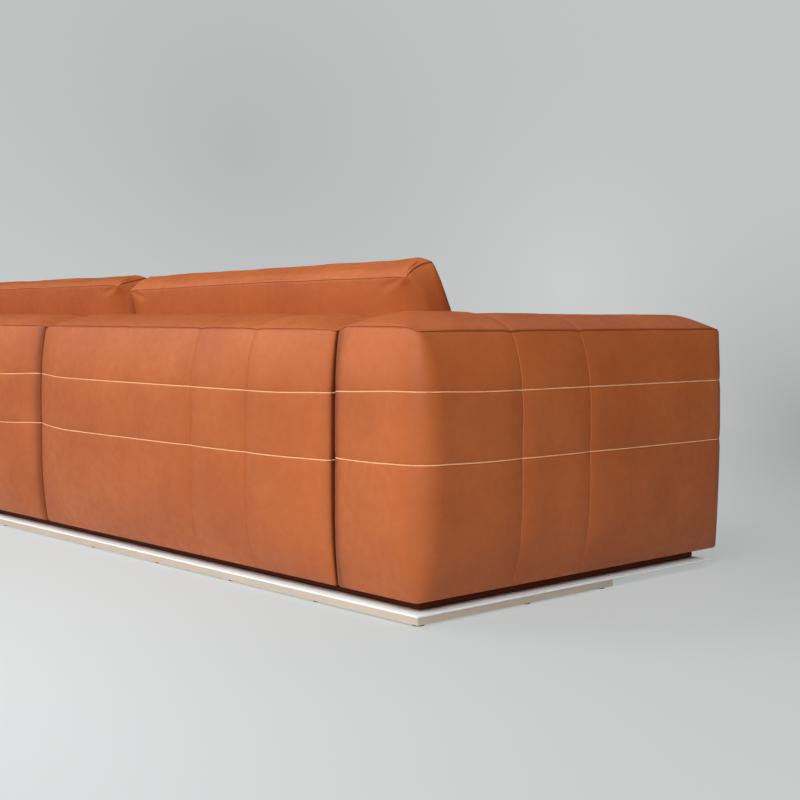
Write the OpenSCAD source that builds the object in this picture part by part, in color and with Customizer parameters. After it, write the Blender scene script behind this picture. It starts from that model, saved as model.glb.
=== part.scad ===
// Two-seat leather sofa: padded blocks and loose cushions on a flat metal base.
// Left and right are as seated, so right is -X. The front is -Y and the floor is z = 0.

/* [Overall] */
// Length between the outer seams of the two arms
sofa_l = 3080; // [2700:10:3500]
// Depth between the rear and front seams of the arms
body_d = 1035; // [960:5:1120]
// Height of the seam around the top of the arms and back
seam_h = 597; // [570:1:640]
// Height of the padded seat base
platform_h = 250; // [235:1:270]

/* [Arms and back] */
// Width of an arm
arm_w = 255; // [225:1:290]
// Thickness of the back
back_t = 255; // [225:1:290]
// Groove between two neighbouring blocks
block_gap = 4; // [3:0.5:8]
// Rise of a soft top above its seam
crown_rise = 33; // [15:1:45]
// How far the outer walls swell past their seams
wall_swell = 34; // [10:1:45]
// How far the fronts of the arms swell
front_swell = 20; // [5:1:35]
// How far the back swells towards the seat
inner_swell = 10; // [4:1:14]
// Distance from the end of a block to its first channel seam
channel_start = 277; // [220:1:320]
// Distance between the two channel seams of a block
channel_step = 222; // [160:1:260]
// Extra fullness of the leather between two channels
channel_puff = 9; // [0:1:16]
// How deep a channel seam pulls the top down
channel_dip = 3; // [0:0.5:8]
// How far from a channel seam its pull is felt
channel_reach = 28; // [15:1:50]
// Radius of the soft outer corners at their seam and foot
outer_r = 25; // [15:1:50]
// How much rounder the outer corners are where the walls are full
outer_r_growth = 60; // [30:1:80]
// Radius of the inner front corner of an arm
inner_r = 30; // [15:1:45]
// Radius of the edges beside a groove
groove_r = 16; // [8:1:24]
// Distance from a groove at which the wall beside it is full
hold_reach = 300; // [150:5:400]

/* [Seat cushions] */
// Height of a seat cushion's side, from its underside to its top seam
seat_side_h = 162; // [120:1:190]
// Rise of the seat above its top seam
seat_rise = 27; // [10:1:40]
// Space from a seat cushion's seam to the arm, and twice to the middle
seat_gap = 12; // [10:1:20]
// How far a seat cushion's front swells
seat_swell = 12; // [4:1:20]
// How far the seams of a cushion are drawn in between its corners
draw_in = 6; // [0:1:12]

/* [Back cushions] */
// Space from a back cushion's seam to the arm
back_cushion_arm_gap = 60; // [45:1:90]
// Space from a back cushion's seam to the middle of the sofa
back_cushion_mid_gap = 36; // [32:1:60]
// Depth of a back cushion where it stands on the seat
back_cushion_foot = 209; // [180:1:240]
// Depth of the top panel, measured level
back_cushion_top = 83; // [65:1:110]
// Height of the rear top seam over the seat
back_cushion_h = 270; // [220:1:300]
// How much higher the front top seam is
back_cushion_tilt = 41; // [20:1:55]
// How far the rear face leans back from foot to seam
back_cushion_lean = 21; // [5:1:22]
// How far the front and the ends swell
back_cushion_swell = 24; // [8:1:26]
// Rise of the top panel above its seams
back_cushion_rise = 18; // [4:1:24]

/* [Base] */
// Thickness of the base plate
plate_t = 4; // [3:0.5:8]
// Width of each bar of the base plate
plate_w = 120; // [100:1:150]
// How far the plate stands out past the side seams
plate_side_out = 12; // [0:1:20]
// How far the plate stands out past the rear seam
plate_rear_out = 8; // [0:1:20]
// How far the plate stays behind the front seams
plate_front_in = 50; // [20:1:70]
// Height of the rail under the plate
rail_h = 15.6; // [10:0.2:30]
// Width of the rail
rail_w = 40; // [25:1:60]
// Wall of the rail's tube
rail_wall = 2; // [1.5:0.5:3]
// How far the rail runs forward along each side
rail_return = 620; // [400:5:720]
// Space from the front rail's ends to the sides of the plate
front_rail_in = 150; // [120:5:300]
// Diameter of a glide
glide_d = 26; // [16:1:30]
// Height of a glide
glide_h = 4; // [2:0.5:8]
// Distance between two glides, counted from the ends of a rail
glide_pitch = 319; // [200:1:500]
// Height of the plinth strip
plinth_h = 19.4; // [14:0.2:30]
// Width of the plinth strip
plinth_w = 80; // [60:1:100]
// How far the plinth stays inside the plate at the sides
plinth_side_in = 33; // [20:1:45]
// How far the plinth stays inside the plate at the rear
plinth_rear_in = 37; // [20:1:45]
// How far the plinth stays inside the plate at the front
plinth_front_in = 20; // [10:1:45]

/* [Frames and padding] */
// Leather and wadding of a block, where it is thinnest
skin_t = 14; // [8:1:18]
// Leather and wadding of the seat base
base_skin_t = 6; // [4:1:10]
// Foam around an arm or back frame
foam_t = 40; // [25:1:50]
// Foam behind the leather front border
border_foam_t = 50; // [44:1:60]
// Thickness of the plywood boards
board_t = 18; // [12:1:24]
// Thickness of the seat frame rails
rail_board_t = 28; // [20:1:40]
// Height of the seat frame
seat_frame_h = 120; // [90:1:130]
// Width of a webbing belt
belt_w = 70; // [50:5:80]
// Thickness of a webbing belt
belt_t = 2; // [1.5:0.5:3]
// Distance between two webbing belts
belt_pitch = 105; // [95:5:160]
// Thickness of a cushion's fabric underside
underside_t = 3; // [2:0.5:5]

/* [Hidden] */
$fn = 32;

// Overrun of a cut past the face that it opens
cut = 1;
// Space between two soft faces that press together on the real sofa
rest_gap = 0.4;
// Running space between a cushion and what it slides past when it is lifted off
lift_gap = 3;

// Levels, from the floor up
rail_z = glide_h;
plate_z = rail_z + rail_h;
plinth_z = plate_z + plate_t;
body_z = plinth_z + plinth_h;
frame_top_z = body_z + seat_frame_h;
foam_z = frame_top_z + 2 * belt_t;
seat_z = platform_h + rest_gap;
seat_seam_z = seat_z + seat_side_h;
back_cushion_z = seat_seam_z + seat_rise + rest_gap;

// Plan of the body, with the bounding box centred on the origin
rear_reach = wall_swell + channel_puff;
rear_y = (body_d + front_swell - rear_reach) / 2;
front_y = rear_y - body_d;
side_x = sofa_l / 2;
arm_in_x = side_x - arm_w;
back_y = rear_y - back_t;
seat_rear_y = back_y - inner_swell - rest_gap;
seat_end_x = arm_in_x - block_gap;

// Plan of the base: half length, then its front and rear edges
plate_plan = [side_x + plate_side_out, front_y + plate_front_in, rear_y + plate_rear_out];
plinth_plan = [
    plate_plan[0] - plinth_side_in,
    plate_plan[1] + plinth_front_in,
    plate_plan[2] - plinth_rear_in
];

// Swell that lets two blocks meet in their groove
groove_swell = (block_gap - rest_gap) / 2;
// How much lower the top seam runs around a corner, and around a corner beside a groove
corner_drop = 4;
groove_drop = 12;
// Share of a wall's swell that is left at a groove
groove_hold_share = 0.4;

// How steeply a stuffed wall rises to its full swell, and the share of its height that this takes
fill_power = 2.6;
fill_share = 0.35;

// Shares of a section where a padded form has a column of points
section_shares = [0, 0.12, 0.5, 0.88];
// Shares of a wall's height, from the seam down, where a block has a row of points
block_row_shares = [0.05, 0.13, 0.24, 0.37, 0.5, 0.65, 0.8, 0.93, 1];
seat_row_shares = [0.1, 0.28, 0.5, 0.78, 1];
back_cushion_row_shares = [0.07, 0.18, 0.34, 0.52, 0.7, 0.88, 1];
// Place of the middle column of a corner's arc, as a share of its radius
arc_share = 1 - tan(22.5);

leather = [0.67, 0.33, 0.19];
steel = [0.8, 0.79, 0.77];
dark_wood = [0.16, 0.07, 0.04];
plywood = [0.8, 0.66, 0.46];
hardwood = [0.72, 0.55, 0.36];
foam = [0.93, 0.88, 0.7];
black = [0.09, 0.09, 0.09];
webbing = [0.3, 0.28, 0.26];
lining = [0.45, 0.32, 0.22];
zinc = [0.7, 0.71, 0.72];

// Padded forms

function between(v, low, high) = max(low, min(high, v));

function last_of(list) = list[len(list) - 1];

// Distances of the columns around a corner from its end, for its smallest and its largest arc
function arc_columns(r, growth) =
    let (wide_r = r + growth)
    growth == 0 ? [arc_share * r, r] : [arc_share * r, r, arc_share * wide_r, wide_r];

// Places of the columns along one side: arcs at each end and the same shares of each section
function columns(marks, low_arcs, high_arcs) =
    let (last = len(marks) - 2, end = len(high_arcs) - 1)
    concat(
        [marks[0]],
        [for (i = [0 : 1 : len(low_arcs) - 2]) marks[0] + low_arcs[i]],
        [
            for (i = [0 : last])
                let (
                    low = i == 0 ? marks[i] + last_of(low_arcs) : marks[i],
                    high = i == last ? marks[i + 1] - last_of(high_arcs) : marks[i + 1]
                )
                for (s = section_shares) low + s * (high - low)
        ],
        [for (i = [end : -1 : 0]) last_of(marks) - high_arcs[i]],
        [last_of(marks)]
    );

// Fullness at one place: 0 on a channel seam, and 1 where its pull is no longer felt
function fullness(v, marks) =
    let (away = [for (k = [1 : 1 : len(marks) - 2]) abs(v - marks[k])])
    len(away) == 0 ? 1 : 1 - exp(-min(away) / channel_reach);

// Bow at one place: 0 at both ends of a side and 1 in its middle
function bow(v, low, high) = sin(180 * between((v - low) / (high - low), 0, 1));

// Rises steeply from 0 and levels out at 1
function filled(share) = 1 - pow(1 - between(share, 0, 1), fill_power);

// Swell of a wall at a share of its height
function belly(share) = filled(min(share, 1 - share) / fill_share);

// Rise of a soft top at a distance from its edge
function dome(distance, reach) = distance >= reach ? 1 : pow(sin(90 * max(0, distance) / reach), 0.7);

// The two values, along x and along y, for an outward direction, from [low x, high x, low y, high y]
function by_face(out, values) = [values[out.x < 0 ? 0 : 1], values[out.y < 0 ? 2 : 3]];

// A block or cushion whose top is domed and whose walls swell between rounded corners.
// Marks are the places of the ends and channel seams along each side; faces are listed as in by_face.
// Values for the corners are listed as [[low x and low y, low x and high y], [high x ...]].
module padded_form(
    x_marks, y_marks, z_low, z_seam, radii, rise, reach, swells,
    growth = [[0, 0], [0, 0]], holds = [[1, 1], [1, 1]], puffs = [0, 0, 0, 0], dips = [0, 0],
    drops = [[0, 0], [0, 0]], inset = 0, row_shares = block_row_shares, warp = function (p) p
) {
    low = [x_marks[0], y_marks[0]];
    high = [last_of(x_marks), last_of(y_marks)];
    function arcs(ends) =
        arc_columns(max(radii[ends[0].x][ends[0].y], radii[ends[1].x][ends[1].y]),
                    max(growth[ends[0].x][ends[0].y], growth[ends[1].x][ends[1].y]));
    xs = columns(x_marks, arcs([[0, 0], [0, 1]]), arcs([[1, 0], [1, 1]]));
    ys = columns(y_marks, arcs([[0, 0], [1, 0]]), arcs([[0, 1], [1, 1]]));
    nx = len(xs) - 1;
    ny = len(ys) - 1;
    rows = len(row_shares);

    // The centre from which a corner is rounded where the wall has a share of its swell,
    // the place on the rounded plan, and the direction out from it
    function at_corner(p, values) =
        values[p.x < (low.x + high.x) / 2 ? 0 : 1][p.y < (low.y + high.y) / 2 ? 0 : 1];
    function centre(p, full) =
        let (r = at_corner(p, radii) + full * at_corner(p, growth))
        [between(p.x, low.x + r, high.x - r), between(p.y, low.y + r, high.y - r)];
    function rounded(p, full) =
        let (d = p - centre(p, full), n = norm(d))
        n == 0 ? p : centre(p, full) + d * max(abs(d.x), abs(d.y)) / n;
    function outward(p, full) = (p - centre(p, full)) / norm(p - centre(p, full));

    // Share of its swell that a wall has at a place, for faces across x and faces across y
    function held_from(hold, distance) = hold + (1 - hold) * filled(distance / hold_reach);
    function held(p, out) =
        let (i = out.x < 0 ? 0 : 1, j = out.y < 0 ? 0 : 1)
        [
            held_from(holds[i][0], p.y - low.y) * held_from(holds[i][1], high.y - p.y),
            held_from(holds[0][j], p.x - low.x) * held_from(holds[1][j], high.x - p.x)
        ];

    function sag(p) = dips[0] * (1 - fullness(p.x, x_marks)) + dips[1] * (1 - fullness(p.y, y_marks));
    function seam_z(p) =
        z_seam - sag(p) - at_corner(p, drops) * 2 * abs(outward(p, 0).x * outward(p, 0).y);

    function inner_point(p) =
        let (
            dx = min(p.x - low.x, high.x - p.x),
            dy = min(p.y - low.y, high.y - p.y),
            q = rounded(p, 0)
        )
        [q.x, q.y, z_seam - sag(p) + rise * dome(dx, reach) * dome(dy, reach)];

    function wall_point(p, share) =
        let (
            full = belly(share),
            out = outward(p, full),
            hold = held(p, out),
            swell = by_face(out, swells) * full,
            puff = by_face(out, puffs) * sin(180 * share),
            full_x = hold.x * (swell.x + puff.x * fullness(p.y, y_marks)),
            full_y = hold.y * (swell.y + puff.y * fullness(p.x, x_marks)),
            reach_x = full_x - inset * bow(p.y, low.y, high.y),
            reach_y = full_y - inset * bow(p.x, low.x, high.x),
            q = rounded(p, full) + [reach_x * out.x, reach_y * out.y]
        )
        [q.x, q.y, seam_z(p) + share * (z_low - seam_z(p))];

    // The rim of the grid over the top, anticlockwise from above
    rim = concat(
        [for (i = [0 : nx - 1]) [i, 0]],
        [for (j = [0 : ny - 1]) [nx, j]],
        [for (i = [nx : -1 : 1]) [i, ny]],
        [for (j = [ny : -1 : 1]) [0, j]]
    );
    turn = len(rim);
    grid = (nx + 1) * (ny + 1);
    function grid_id(i, j) = i * (ny + 1) + j;
    function wall_id(row, k) =
        let (e = rim[k % turn])
        row == 0 ? grid_id(e[0], e[1]) : grid + (row - 1) * turn + k % turn;

    grid_points = [
        for (i = [0 : nx])
            for (j = [0 : ny])
                let (p = [xs[i], ys[j]])
                i == 0 || j == 0 || i == nx || j == ny ? wall_point(p, 0) : inner_point(p)
    ];
    wall_points = [for (share = row_shares) for (e = rim) wall_point([xs[e[0]], ys[e[1]]], share)];
    foot = concat((low + high) / 2, [z_low]);

    top_faces = [
        for (i = [0 : nx - 1])
            for (j = [0 : ny - 1])
                each [
                    [grid_id(i, j), grid_id(i, j + 1), grid_id(i + 1, j + 1)],
                    [grid_id(i, j), grid_id(i + 1, j + 1), grid_id(i + 1, j)]
                ]
    ];
    wall_faces = [
        for (row = [0 : rows - 1])
            for (k = [0 : turn - 1])
                each [
                    [wall_id(row, k), wall_id(row, k + 1), wall_id(row + 1, k + 1)],
                    [wall_id(row, k), wall_id(row + 1, k + 1), wall_id(row + 1, k)]
                ]
    ];
    foot_faces = [for (k = [0 : turn - 1]) [grid + rows * turn, wall_id(rows, k), wall_id(rows, k + 1)]];

    polyhedron(
        points = [for (p = concat(grid_points, wall_points, [foot])) warp(p)],
        faces = concat(top_faces, wall_faces, foot_faces),
        convexity = 4
    );
}

// A box between two corners
module box(low, high) {
    translate(low) cube(high - low);
}

module mirrored() {
    mirror([1, 0, 0]) children();
}

// Base: a ring of four bars, each drawn with its outer edge on y = 0 and its length along x

function side_length(side, plan) = side == "rear" || side == "front" ? 2 * plan[0] : plan[2] - plan[1];

module on_side(side, plan) {
    middle_y = (plan[1] + plan[2]) / 2;
    if (side == "rear") translate([0, plan[2], 0]) children();
    if (side == "front") translate([0, plan[1], 0]) rotate(180) children();
    if (side == "right") translate([-plan[0], middle_y, 0]) rotate(90) children();
    if (side == "left") translate([plan[0], middle_y, 0]) rotate(-90) children();
}

module mitred(length, width) {
    half = length / 2;
    polygon([[-half, 0], [half, 0], [half - width, -width], [width - half, -width]]);
}

// Screws hold plate and plinth to the frames above them
screw_d = 6;
screw_head_d = 12;
screw_head_h = 3;
screw_bite = 12;
screw_space = 0.1;
screw_l = plate_t + plinth_h + screw_bite;
// Distance of the screws from the edge of the plate
screw_in = 90;
rear_screw_shares = [-0.92, -0.5, -0.12, 0.12, 0.5, 0.92];
front_screw_shares = [-0.7, -0.35, 0.35, 0.7];
side_screw_shares = [-0.6, 0.55];

function screw_spots() = concat(
    [for (s = rear_screw_shares) [s * side_x, plate_plan[2] - screw_in]],
    [for (s = front_screw_shares) [s * side_x, frame_front_y + rail_board_t / 2]],
    [for (s = side_screw_shares) for (side = [-1, 1]) [side * (plate_plan[0] - screw_in), s * body_d / 2]]
);

module countersunk(d, head_d, head_h, length) {
    cylinder(d = d, h = length);
    cylinder(d1 = head_d, d2 = d, h = head_h);
}

module screw_holes() {
    for (p = screw_spots())
        translate([p.x, p.y, plate_z])
            countersunk(
                screw_d + 2 * screw_space, screw_head_d + 2 * screw_space,
                screw_head_h + screw_space, screw_l + screw_space
            );
}

module base_screws() {
    color(zinc)
        for (p = screw_spots())
            translate([p.x, p.y, plate_z])
                countersunk(screw_d, screw_head_d, screw_head_h, screw_l);
}

module base_plate(side) {
    color(steel)
        difference() {
            translate([0, 0, plate_z])
                on_side(side, plate_plan)
                    linear_extrude(plate_t) mitred(side_length(side, plate_plan), plate_w);
            screw_holes();
        }
}

// A mitred rail of square tube, with its hollow open at both mitres
module rail_tube(length) {
    difference() {
        linear_extrude(rail_h) mitred(length, rail_w);
        for (shift = [-cut, cut])
            translate([shift, -rail_wall, rail_wall])
                linear_extrude(rail_h - 2 * rail_wall)
                    mitred(length - 2 * rail_wall, rail_w - 2 * rail_wall);
    }
}

module base_rail_rear() {
    color(steel)
        translate([0, 0, rail_z])
            on_side("rear", plate_plan) rail_tube(side_length("rear", plate_plan));
}

// A side rail runs forward from its mitre and ends in a closed square end
module base_rail_right() {
    side = side_length("right", plate_plan);
    end_x = side / 2 - rail_return;
    color(steel)
        translate([0, 0, rail_z])
            on_side("right", plate_plan)
                union() {
                    intersection() {
                        rail_tube(side);
                        box([end_x, -rail_w, 0], [side, 0, rail_h]);
                    }
                    box([end_x, -rail_w, 0], [end_x + rail_wall, 0, rail_h]);
                }
}

// The front rail lies under the inner edge of the front plate, out of sight
module base_rail_front() {
    end_x = plate_plan[0] - front_rail_in;
    y = plate_plan[1] + plate_w - rail_w;
    color(steel)
        difference() {
            box([-end_x, y, rail_z], [end_x, y + rail_w, rail_z + rail_h]);
            box(
                [-end_x - cut, y + rail_wall, rail_z + rail_wall],
                [end_x + cut, y + rail_w - rail_wall, rail_z + rail_h - rail_wall]
            );
        }
}

// Places at a pitch from either end of a line towards its middle
function from_ends(reach, pitch) =
    [for (side = [-1, 1]) for (i = [0 : ceil(reach / pitch) - 1]) side * (reach - i * pitch)];

module glides() {
    rear_x = plate_plan[0] - rail_w / 2;
    rear_glide_y = plate_plan[2] - rail_w / 2;
    return_y = plate_plan[2] - rail_return + glide_d;
    front_x = plate_plan[0] - front_rail_in - glide_d;
    front_glide_y = plate_plan[1] + plate_w - rail_w / 2;
    spots = concat(
        [for (x = from_ends(rear_x, glide_pitch)) [x, rear_glide_y]],
        [for (y = [rear_glide_y - glide_pitch, return_y]) for (side = [-1, 1]) [side * rear_x, y]],
        [for (x = from_ends(front_x, glide_pitch)) [x, front_glide_y]]
    );
    color(black)
        for (p = spots)
            translate([p.x, p.y, 0]) cylinder(d = glide_d, h = glide_h);
}

// A plinth strip has a half-round outer face
module plinth(side) {
    length = side_length(side, plinth_plan);
    r = plinth_h / 2;
    color(dark_wood)
        difference() {
            translate([0, 0, plinth_z])
                on_side(side, plinth_plan)
                    intersection() {
                        linear_extrude(plinth_h) mitred(length, plinth_w);
                        union() {
                            box([-length, -plinth_w, 0], [length, -r, plinth_h]);
                            translate([-length, -r, r]) rotate([0, 90, 0]) cylinder(r = r, h = 2 * length);
                        }
                    }
            screw_holes();
        }
}

// Seat frame

frame_end_x = seat_end_x - base_skin_t;
frame_front_y = front_y + base_skin_t + border_foam_t;
frame_rear_y = seat_rear_y - base_skin_t;
cross_member_count = 5;

module frame_board(low, high) {
    difference() {
        box([low.x, low.y, body_z], [high.x, high.y, frame_top_z]);
        screw_holes();
        connector_holes();
    }
}

module seat_frame_front_rail() {
    color(hardwood)
        frame_board([-frame_end_x, frame_front_y], [frame_end_x, frame_front_y + rail_board_t]);
}

module seat_frame_rear_rail() {
    color(hardwood)
        frame_board([-frame_end_x, frame_rear_y - rail_board_t], [frame_end_x, frame_rear_y]);
}

module seat_frame_end_right() {
    color(hardwood)
        frame_board(
            [-frame_end_x, frame_front_y + rail_board_t],
            [rail_board_t - frame_end_x, frame_rear_y - rail_board_t]
        );
}

module seat_frame_cross_members() {
    step = 2 * (frame_end_x - rail_board_t) / (cross_member_count + 1);
    color(hardwood)
        for (i = [1 : cross_member_count])
            translate([rail_board_t - frame_end_x + i * step, 0, 0])
                box(
                    [-rail_board_t / 2, frame_front_y + rail_board_t, body_z],
                    [rail_board_t / 2, frame_rear_y - rail_board_t, frame_top_z]
                );
}

// Triangular blocks glued into the four corners of the seat frame
module seat_frame_corner_blocks() {
    x = frame_end_x - rail_board_t;
    leg = 3 * rail_board_t;
    color(hardwood)
        for (side = [-1, 1])
            for (end = [[frame_front_y + rail_board_t, 1], [frame_rear_y - rail_board_t, -1]])
                translate([0, 0, body_z])
                    linear_extrude(seat_frame_h)
                        polygon([
                            [side * x, end[0]],
                            [side * (x - leg), end[0]],
                            [side * x, end[0] + end[1] * leg]
                        ]);
}

// Evenly spaced places from one end to the other, no further apart than the pitch
function spaced(low, high, pitch) =
    let (steps = ceil((high - low) / pitch))
    [for (i = [0 : steps]) low + i * (high - low) / steps];

module webbing_cross() {
    reach = frame_end_x - rail_board_t - belt_w / 2;
    color(webbing)
        for (x = spaced(-reach, reach, belt_pitch))
            box(
                [x - belt_w / 2, frame_front_y, frame_top_z],
                [x + belt_w / 2, frame_rear_y, frame_top_z + belt_t]
            );
}

module webbing_long() {
    low = frame_front_y + rail_board_t + belt_w;
    high = frame_rear_y - rail_board_t - belt_w;
    color(webbing)
        for (y = spaced(low, high, belt_pitch))
            box(
                [-frame_end_x, y - belt_w / 2, frame_top_z + belt_t],
                [frame_end_x, y + belt_w / 2, foam_z]
            );
}

// A slab over the webbing, and a thick border in front of the front rail
module seat_base_foam() {
    top = platform_h - base_skin_t;
    color(foam)
        union() {
            box([-frame_end_x, frame_front_y, foam_z], [frame_end_x, frame_rear_y, top]);
            box([-frame_end_x, front_y + base_skin_t, body_z], [frame_end_x, frame_front_y, top]);
        }
}

// Leather front border and platform, with a rounded front edge
module seat_base_cover() {
    r = base_skin_t + border_foam_t / 2;
    color(leather)
        difference() {
            union() {
                box([-seat_end_x, front_y, body_z], [seat_end_x, seat_rear_y, platform_h - r]);
                box([-seat_end_x, front_y + r, body_z], [seat_end_x, seat_rear_y, platform_h]);
                translate([-seat_end_x, front_y + r, platform_h - r])
                    rotate([0, 90, 0])
                        cylinder(r = r, h = 2 * seat_end_x);
            }
            box(
                [-frame_end_x, front_y + base_skin_t, body_z - cut],
                [frame_end_x, frame_rear_y, platform_h - base_skin_t]
            );
        }
}

// Connector plates under the frames, each with two screws in either frame

connector_t = 3;
connector_w = 60;
connector_margin = 12;
connector_screw_d = 5;
connector_screw_head_d = 10;
connector_screw_head_h = 2.5;
connector_screw_l = 15;
connector_z = body_z - connector_t;
arm_joint_shares = [-0.3, 0.1];
back_joint_shares = [-0.62, -0.2, 0.2, 0.62];
// Distances of the screws from the edge of the seat base, under its rail and under a block's board
seat_screw_in = base_skin_t + rail_board_t / 2;
block_screw_in = skin_t + foam_t + 2 * board_t;

// [x, y, turn, distance of the near screws]: at the arms, at the back, and one between the backs
connectors = concat(
    [for (s = arm_joint_shares) [seat_end_x, s * body_d, 0, seat_screw_in]],
    [for (s = arm_joint_shares) [-seat_end_x, s * body_d, 180, seat_screw_in]],
    [for (s = back_joint_shares) [s * side_x, seat_rear_y, 90, seat_screw_in]],
    [[0, plinth_plan[2] - plinth_w - connector_w / 2 - connector_margin, 0, block_screw_in]]
);

module at_connector(c) {
    translate([c[0], c[1], connector_z]) rotate(c[2]) children();
}

module on_connector_screws() {
    for (c = connectors)
        at_connector(c)
            for (x = [-c[3], block_screw_in])
                for (y = [-connector_w / 4, connector_w / 4])
                    translate([x, y, 0]) children();
}

module connector_holes() {
    on_connector_screws()
        countersunk(
            connector_screw_d + 2 * screw_space, connector_screw_head_d + 2 * screw_space,
            connector_screw_head_h + screw_space, connector_screw_l + screw_space
        );
}

module connector_plates() {
    color(zinc)
        difference() {
            for (c = connectors)
                at_connector(c)
                    box(
                        [-c[3] - connector_margin, -connector_w / 2, 0],
                        [block_screw_in + connector_margin, connector_w / 2, connector_t]
                    );
            connector_holes();
        }
}

module connector_screws() {
    color(zinc)
        on_connector_screws()
            countersunk(
                connector_screw_d, connector_screw_head_d, connector_screw_head_h, connector_screw_l
            );
}

// Thin fabric inside the plinth ring, under the connector plates
dust_cover_t = 1;

module dust_cover() {
    x = plinth_plan[0] - plinth_w;
    top = connector_z;
    color(black)
        box(
            [-x, plinth_plan[1] + plinth_w, top - dust_cover_t],
            [x, plinth_plan[2] - plinth_w, top]
        );
}

// Arms and back: a cover over foam over a plywood carcass.
// A plan is its low and high corner; the right-hand block is drawn and the left one is mirrored.

arm_plan = [[-side_x, front_y], [-arm_in_x, rear_y]];
back_plan = [[-arm_in_x + block_gap, back_y], [-block_gap / 2, rear_y]];
arm_y_marks = [
    front_y,
    rear_y - channel_start - channel_step,
    rear_y - channel_start,
    rear_y
];
back_x_marks = [
    back_plan[0].x,
    back_plan[0].x + channel_start,
    back_plan[0].x + channel_start + channel_step,
    back_plan[1].x
];

module block_space(plan, inset, z_low) {
    step = [inset, inset];
    low = plan[0] + step;
    high = plan[1] - step;
    box([low.x, low.y, z_low], [high.x, high.y, seam_h - inset]);
}

module block_foam(plan) {
    color(foam)
        difference() {
            block_space(plan, skin_t, body_z);
            block_space(plan, skin_t + foam_t, body_z - cut);
        }
}

// Boards around two hollows, with a rib between them and a window in each long wall of each hollow
module block_frame(plan) {
    inset = skin_t + foam_t;
    low = [plan[0].x + inset, plan[0].y + inset, body_z];
    high = [plan[1].x - inset, plan[1].y - inset, seam_h - inset];
    size = high - low;
    long_x = size.x > size.y;
    bays = long_x ? 4 : 3;
    length = long_x ? size.x : size.y;
    depth = long_x ? size.y : size.x;
    bay = (length - (bays + 1) * board_t) / bays;
    window_margin = 3 * board_t;
    color(plywood)
        difference() {
            box(low, high);
            for (i = [0 : bays - 1])
                translate(long_x ? low : [high.x, low.y, low.z])
                    rotate(long_x ? 0 : 90)
                        translate([board_t + i * (bay + board_t), 0, board_t]) {
                            translate([0, board_t, 0])
                                cube([bay, depth - 2 * board_t, size.z - 2 * board_t]);
                            translate([window_margin, -cut, window_margin])
                                cube([
                                    bay - 2 * window_margin,
                                    depth + 2 * cut,
                                    size.z - 2 * board_t - 2 * window_margin
                                ]);
                        }
            screw_holes();
            connector_holes();
        }
}

module arm_cover_right() {
    color(leather)
        difference() {
            padded_form(
                x_marks = [arm_plan[0].x, arm_plan[1].x],
                y_marks = arm_y_marks,
                z_low = body_z,
                z_seam = seam_h,
                radii = [[outer_r, outer_r], [inner_r, groove_r]],
                growth = [[outer_r_growth, outer_r_growth], [0, 0]],
                holds = [[1, 1], [1, groove_hold_share]],
                rise = crown_rise + channel_dip,
                reach = arm_w / 2,
                swells = [wall_swell, groove_swell, front_swell, wall_swell],
                puffs = [channel_puff, 0, 0, 0],
                dips = [0, channel_dip],
                drops = [[corner_drop, corner_drop], [corner_drop, groove_drop]]
            );
            block_space(arm_plan, skin_t, body_z - cut);
        }
}

module back_cover_right() {
    color(leather)
        difference() {
            padded_form(
                x_marks = back_x_marks,
                y_marks = [back_plan[0].y, back_plan[1].y],
                z_low = body_z,
                z_seam = seam_h,
                radii = [[groove_r, groove_r], [groove_r, groove_r]],
                holds = [[1, groove_hold_share], [1, groove_hold_share]],
                rise = crown_rise,
                reach = back_t / 2,
                swells = [groove_swell, groove_swell, inner_swell, wall_swell],
                puffs = [0, 0, 0, channel_puff],
                dips = [channel_dip, 0],
                drops = [[corner_drop, groove_drop], [corner_drop, groove_drop]]
            );
            block_space(back_plan, skin_t, body_z - cut);
        }
}

// Seat cushions

seat_corner_r = 40;
seat_wall = 30;
seat_rear_swell = 3;
seat_side_swell = 4;
seat_reach = 150;
seat_low = [-arm_in_x + seat_gap, front_y + seat_swell / 2];
seat_high = [-seat_gap / 2, seat_rear_y - lift_gap - seat_rear_swell];

module seat_space(z_low) {
    box(
        [seat_low.x + seat_wall, seat_low.y + seat_wall, z_low],
        [seat_high.x - seat_wall, seat_high.y - seat_wall, seat_seam_z]
    );
}

module seat_cushion_cover_right() {
    color(leather)
        difference() {
            padded_form(
                x_marks = [seat_low.x, (seat_low.x + seat_high.x) / 2, seat_high.x],
                y_marks = [seat_low.y, cushion_front_y, seat_high.y],
                z_low = seat_z,
                z_seam = seat_seam_z,
                radii = [[seat_corner_r, seat_corner_r / 2], [seat_corner_r, seat_corner_r / 2]],
                rise = seat_rise,
                reach = seat_reach,
                swells = [seat_side_swell, seat_side_swell, seat_swell + draw_in, seat_rear_swell],
                inset = draw_in,
                row_shares = seat_row_shares
            );
            seat_space(seat_z - cut);
        }
}

module seat_cushion_core_right() {
    color(foam) seat_space(seat_z + underside_t);
}

module seat_cushion_underside_right() {
    color(lining)
        difference() {
            seat_space(seat_z);
            seat_space(seat_z + underside_t);
        }
}

// Back cushions: a wedge that stands on the seat, leans on the back and has a tilted top panel

cushion_wall = 26;
cushion_corner_r = 36;
cushion_rear_swell = 3;
cushion_reach = 70;
cushion_rear_y = seat_rear_y - 2 * lift_gap - cushion_rear_swell;
cushion_front_y = cushion_rear_y - back_cushion_foot;
cushion_low_x = -arm_in_x + back_cushion_arm_gap;
cushion_high_x = -back_cushion_mid_gap;
cushion_seam_z = back_cushion_z + back_cushion_h;

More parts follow.
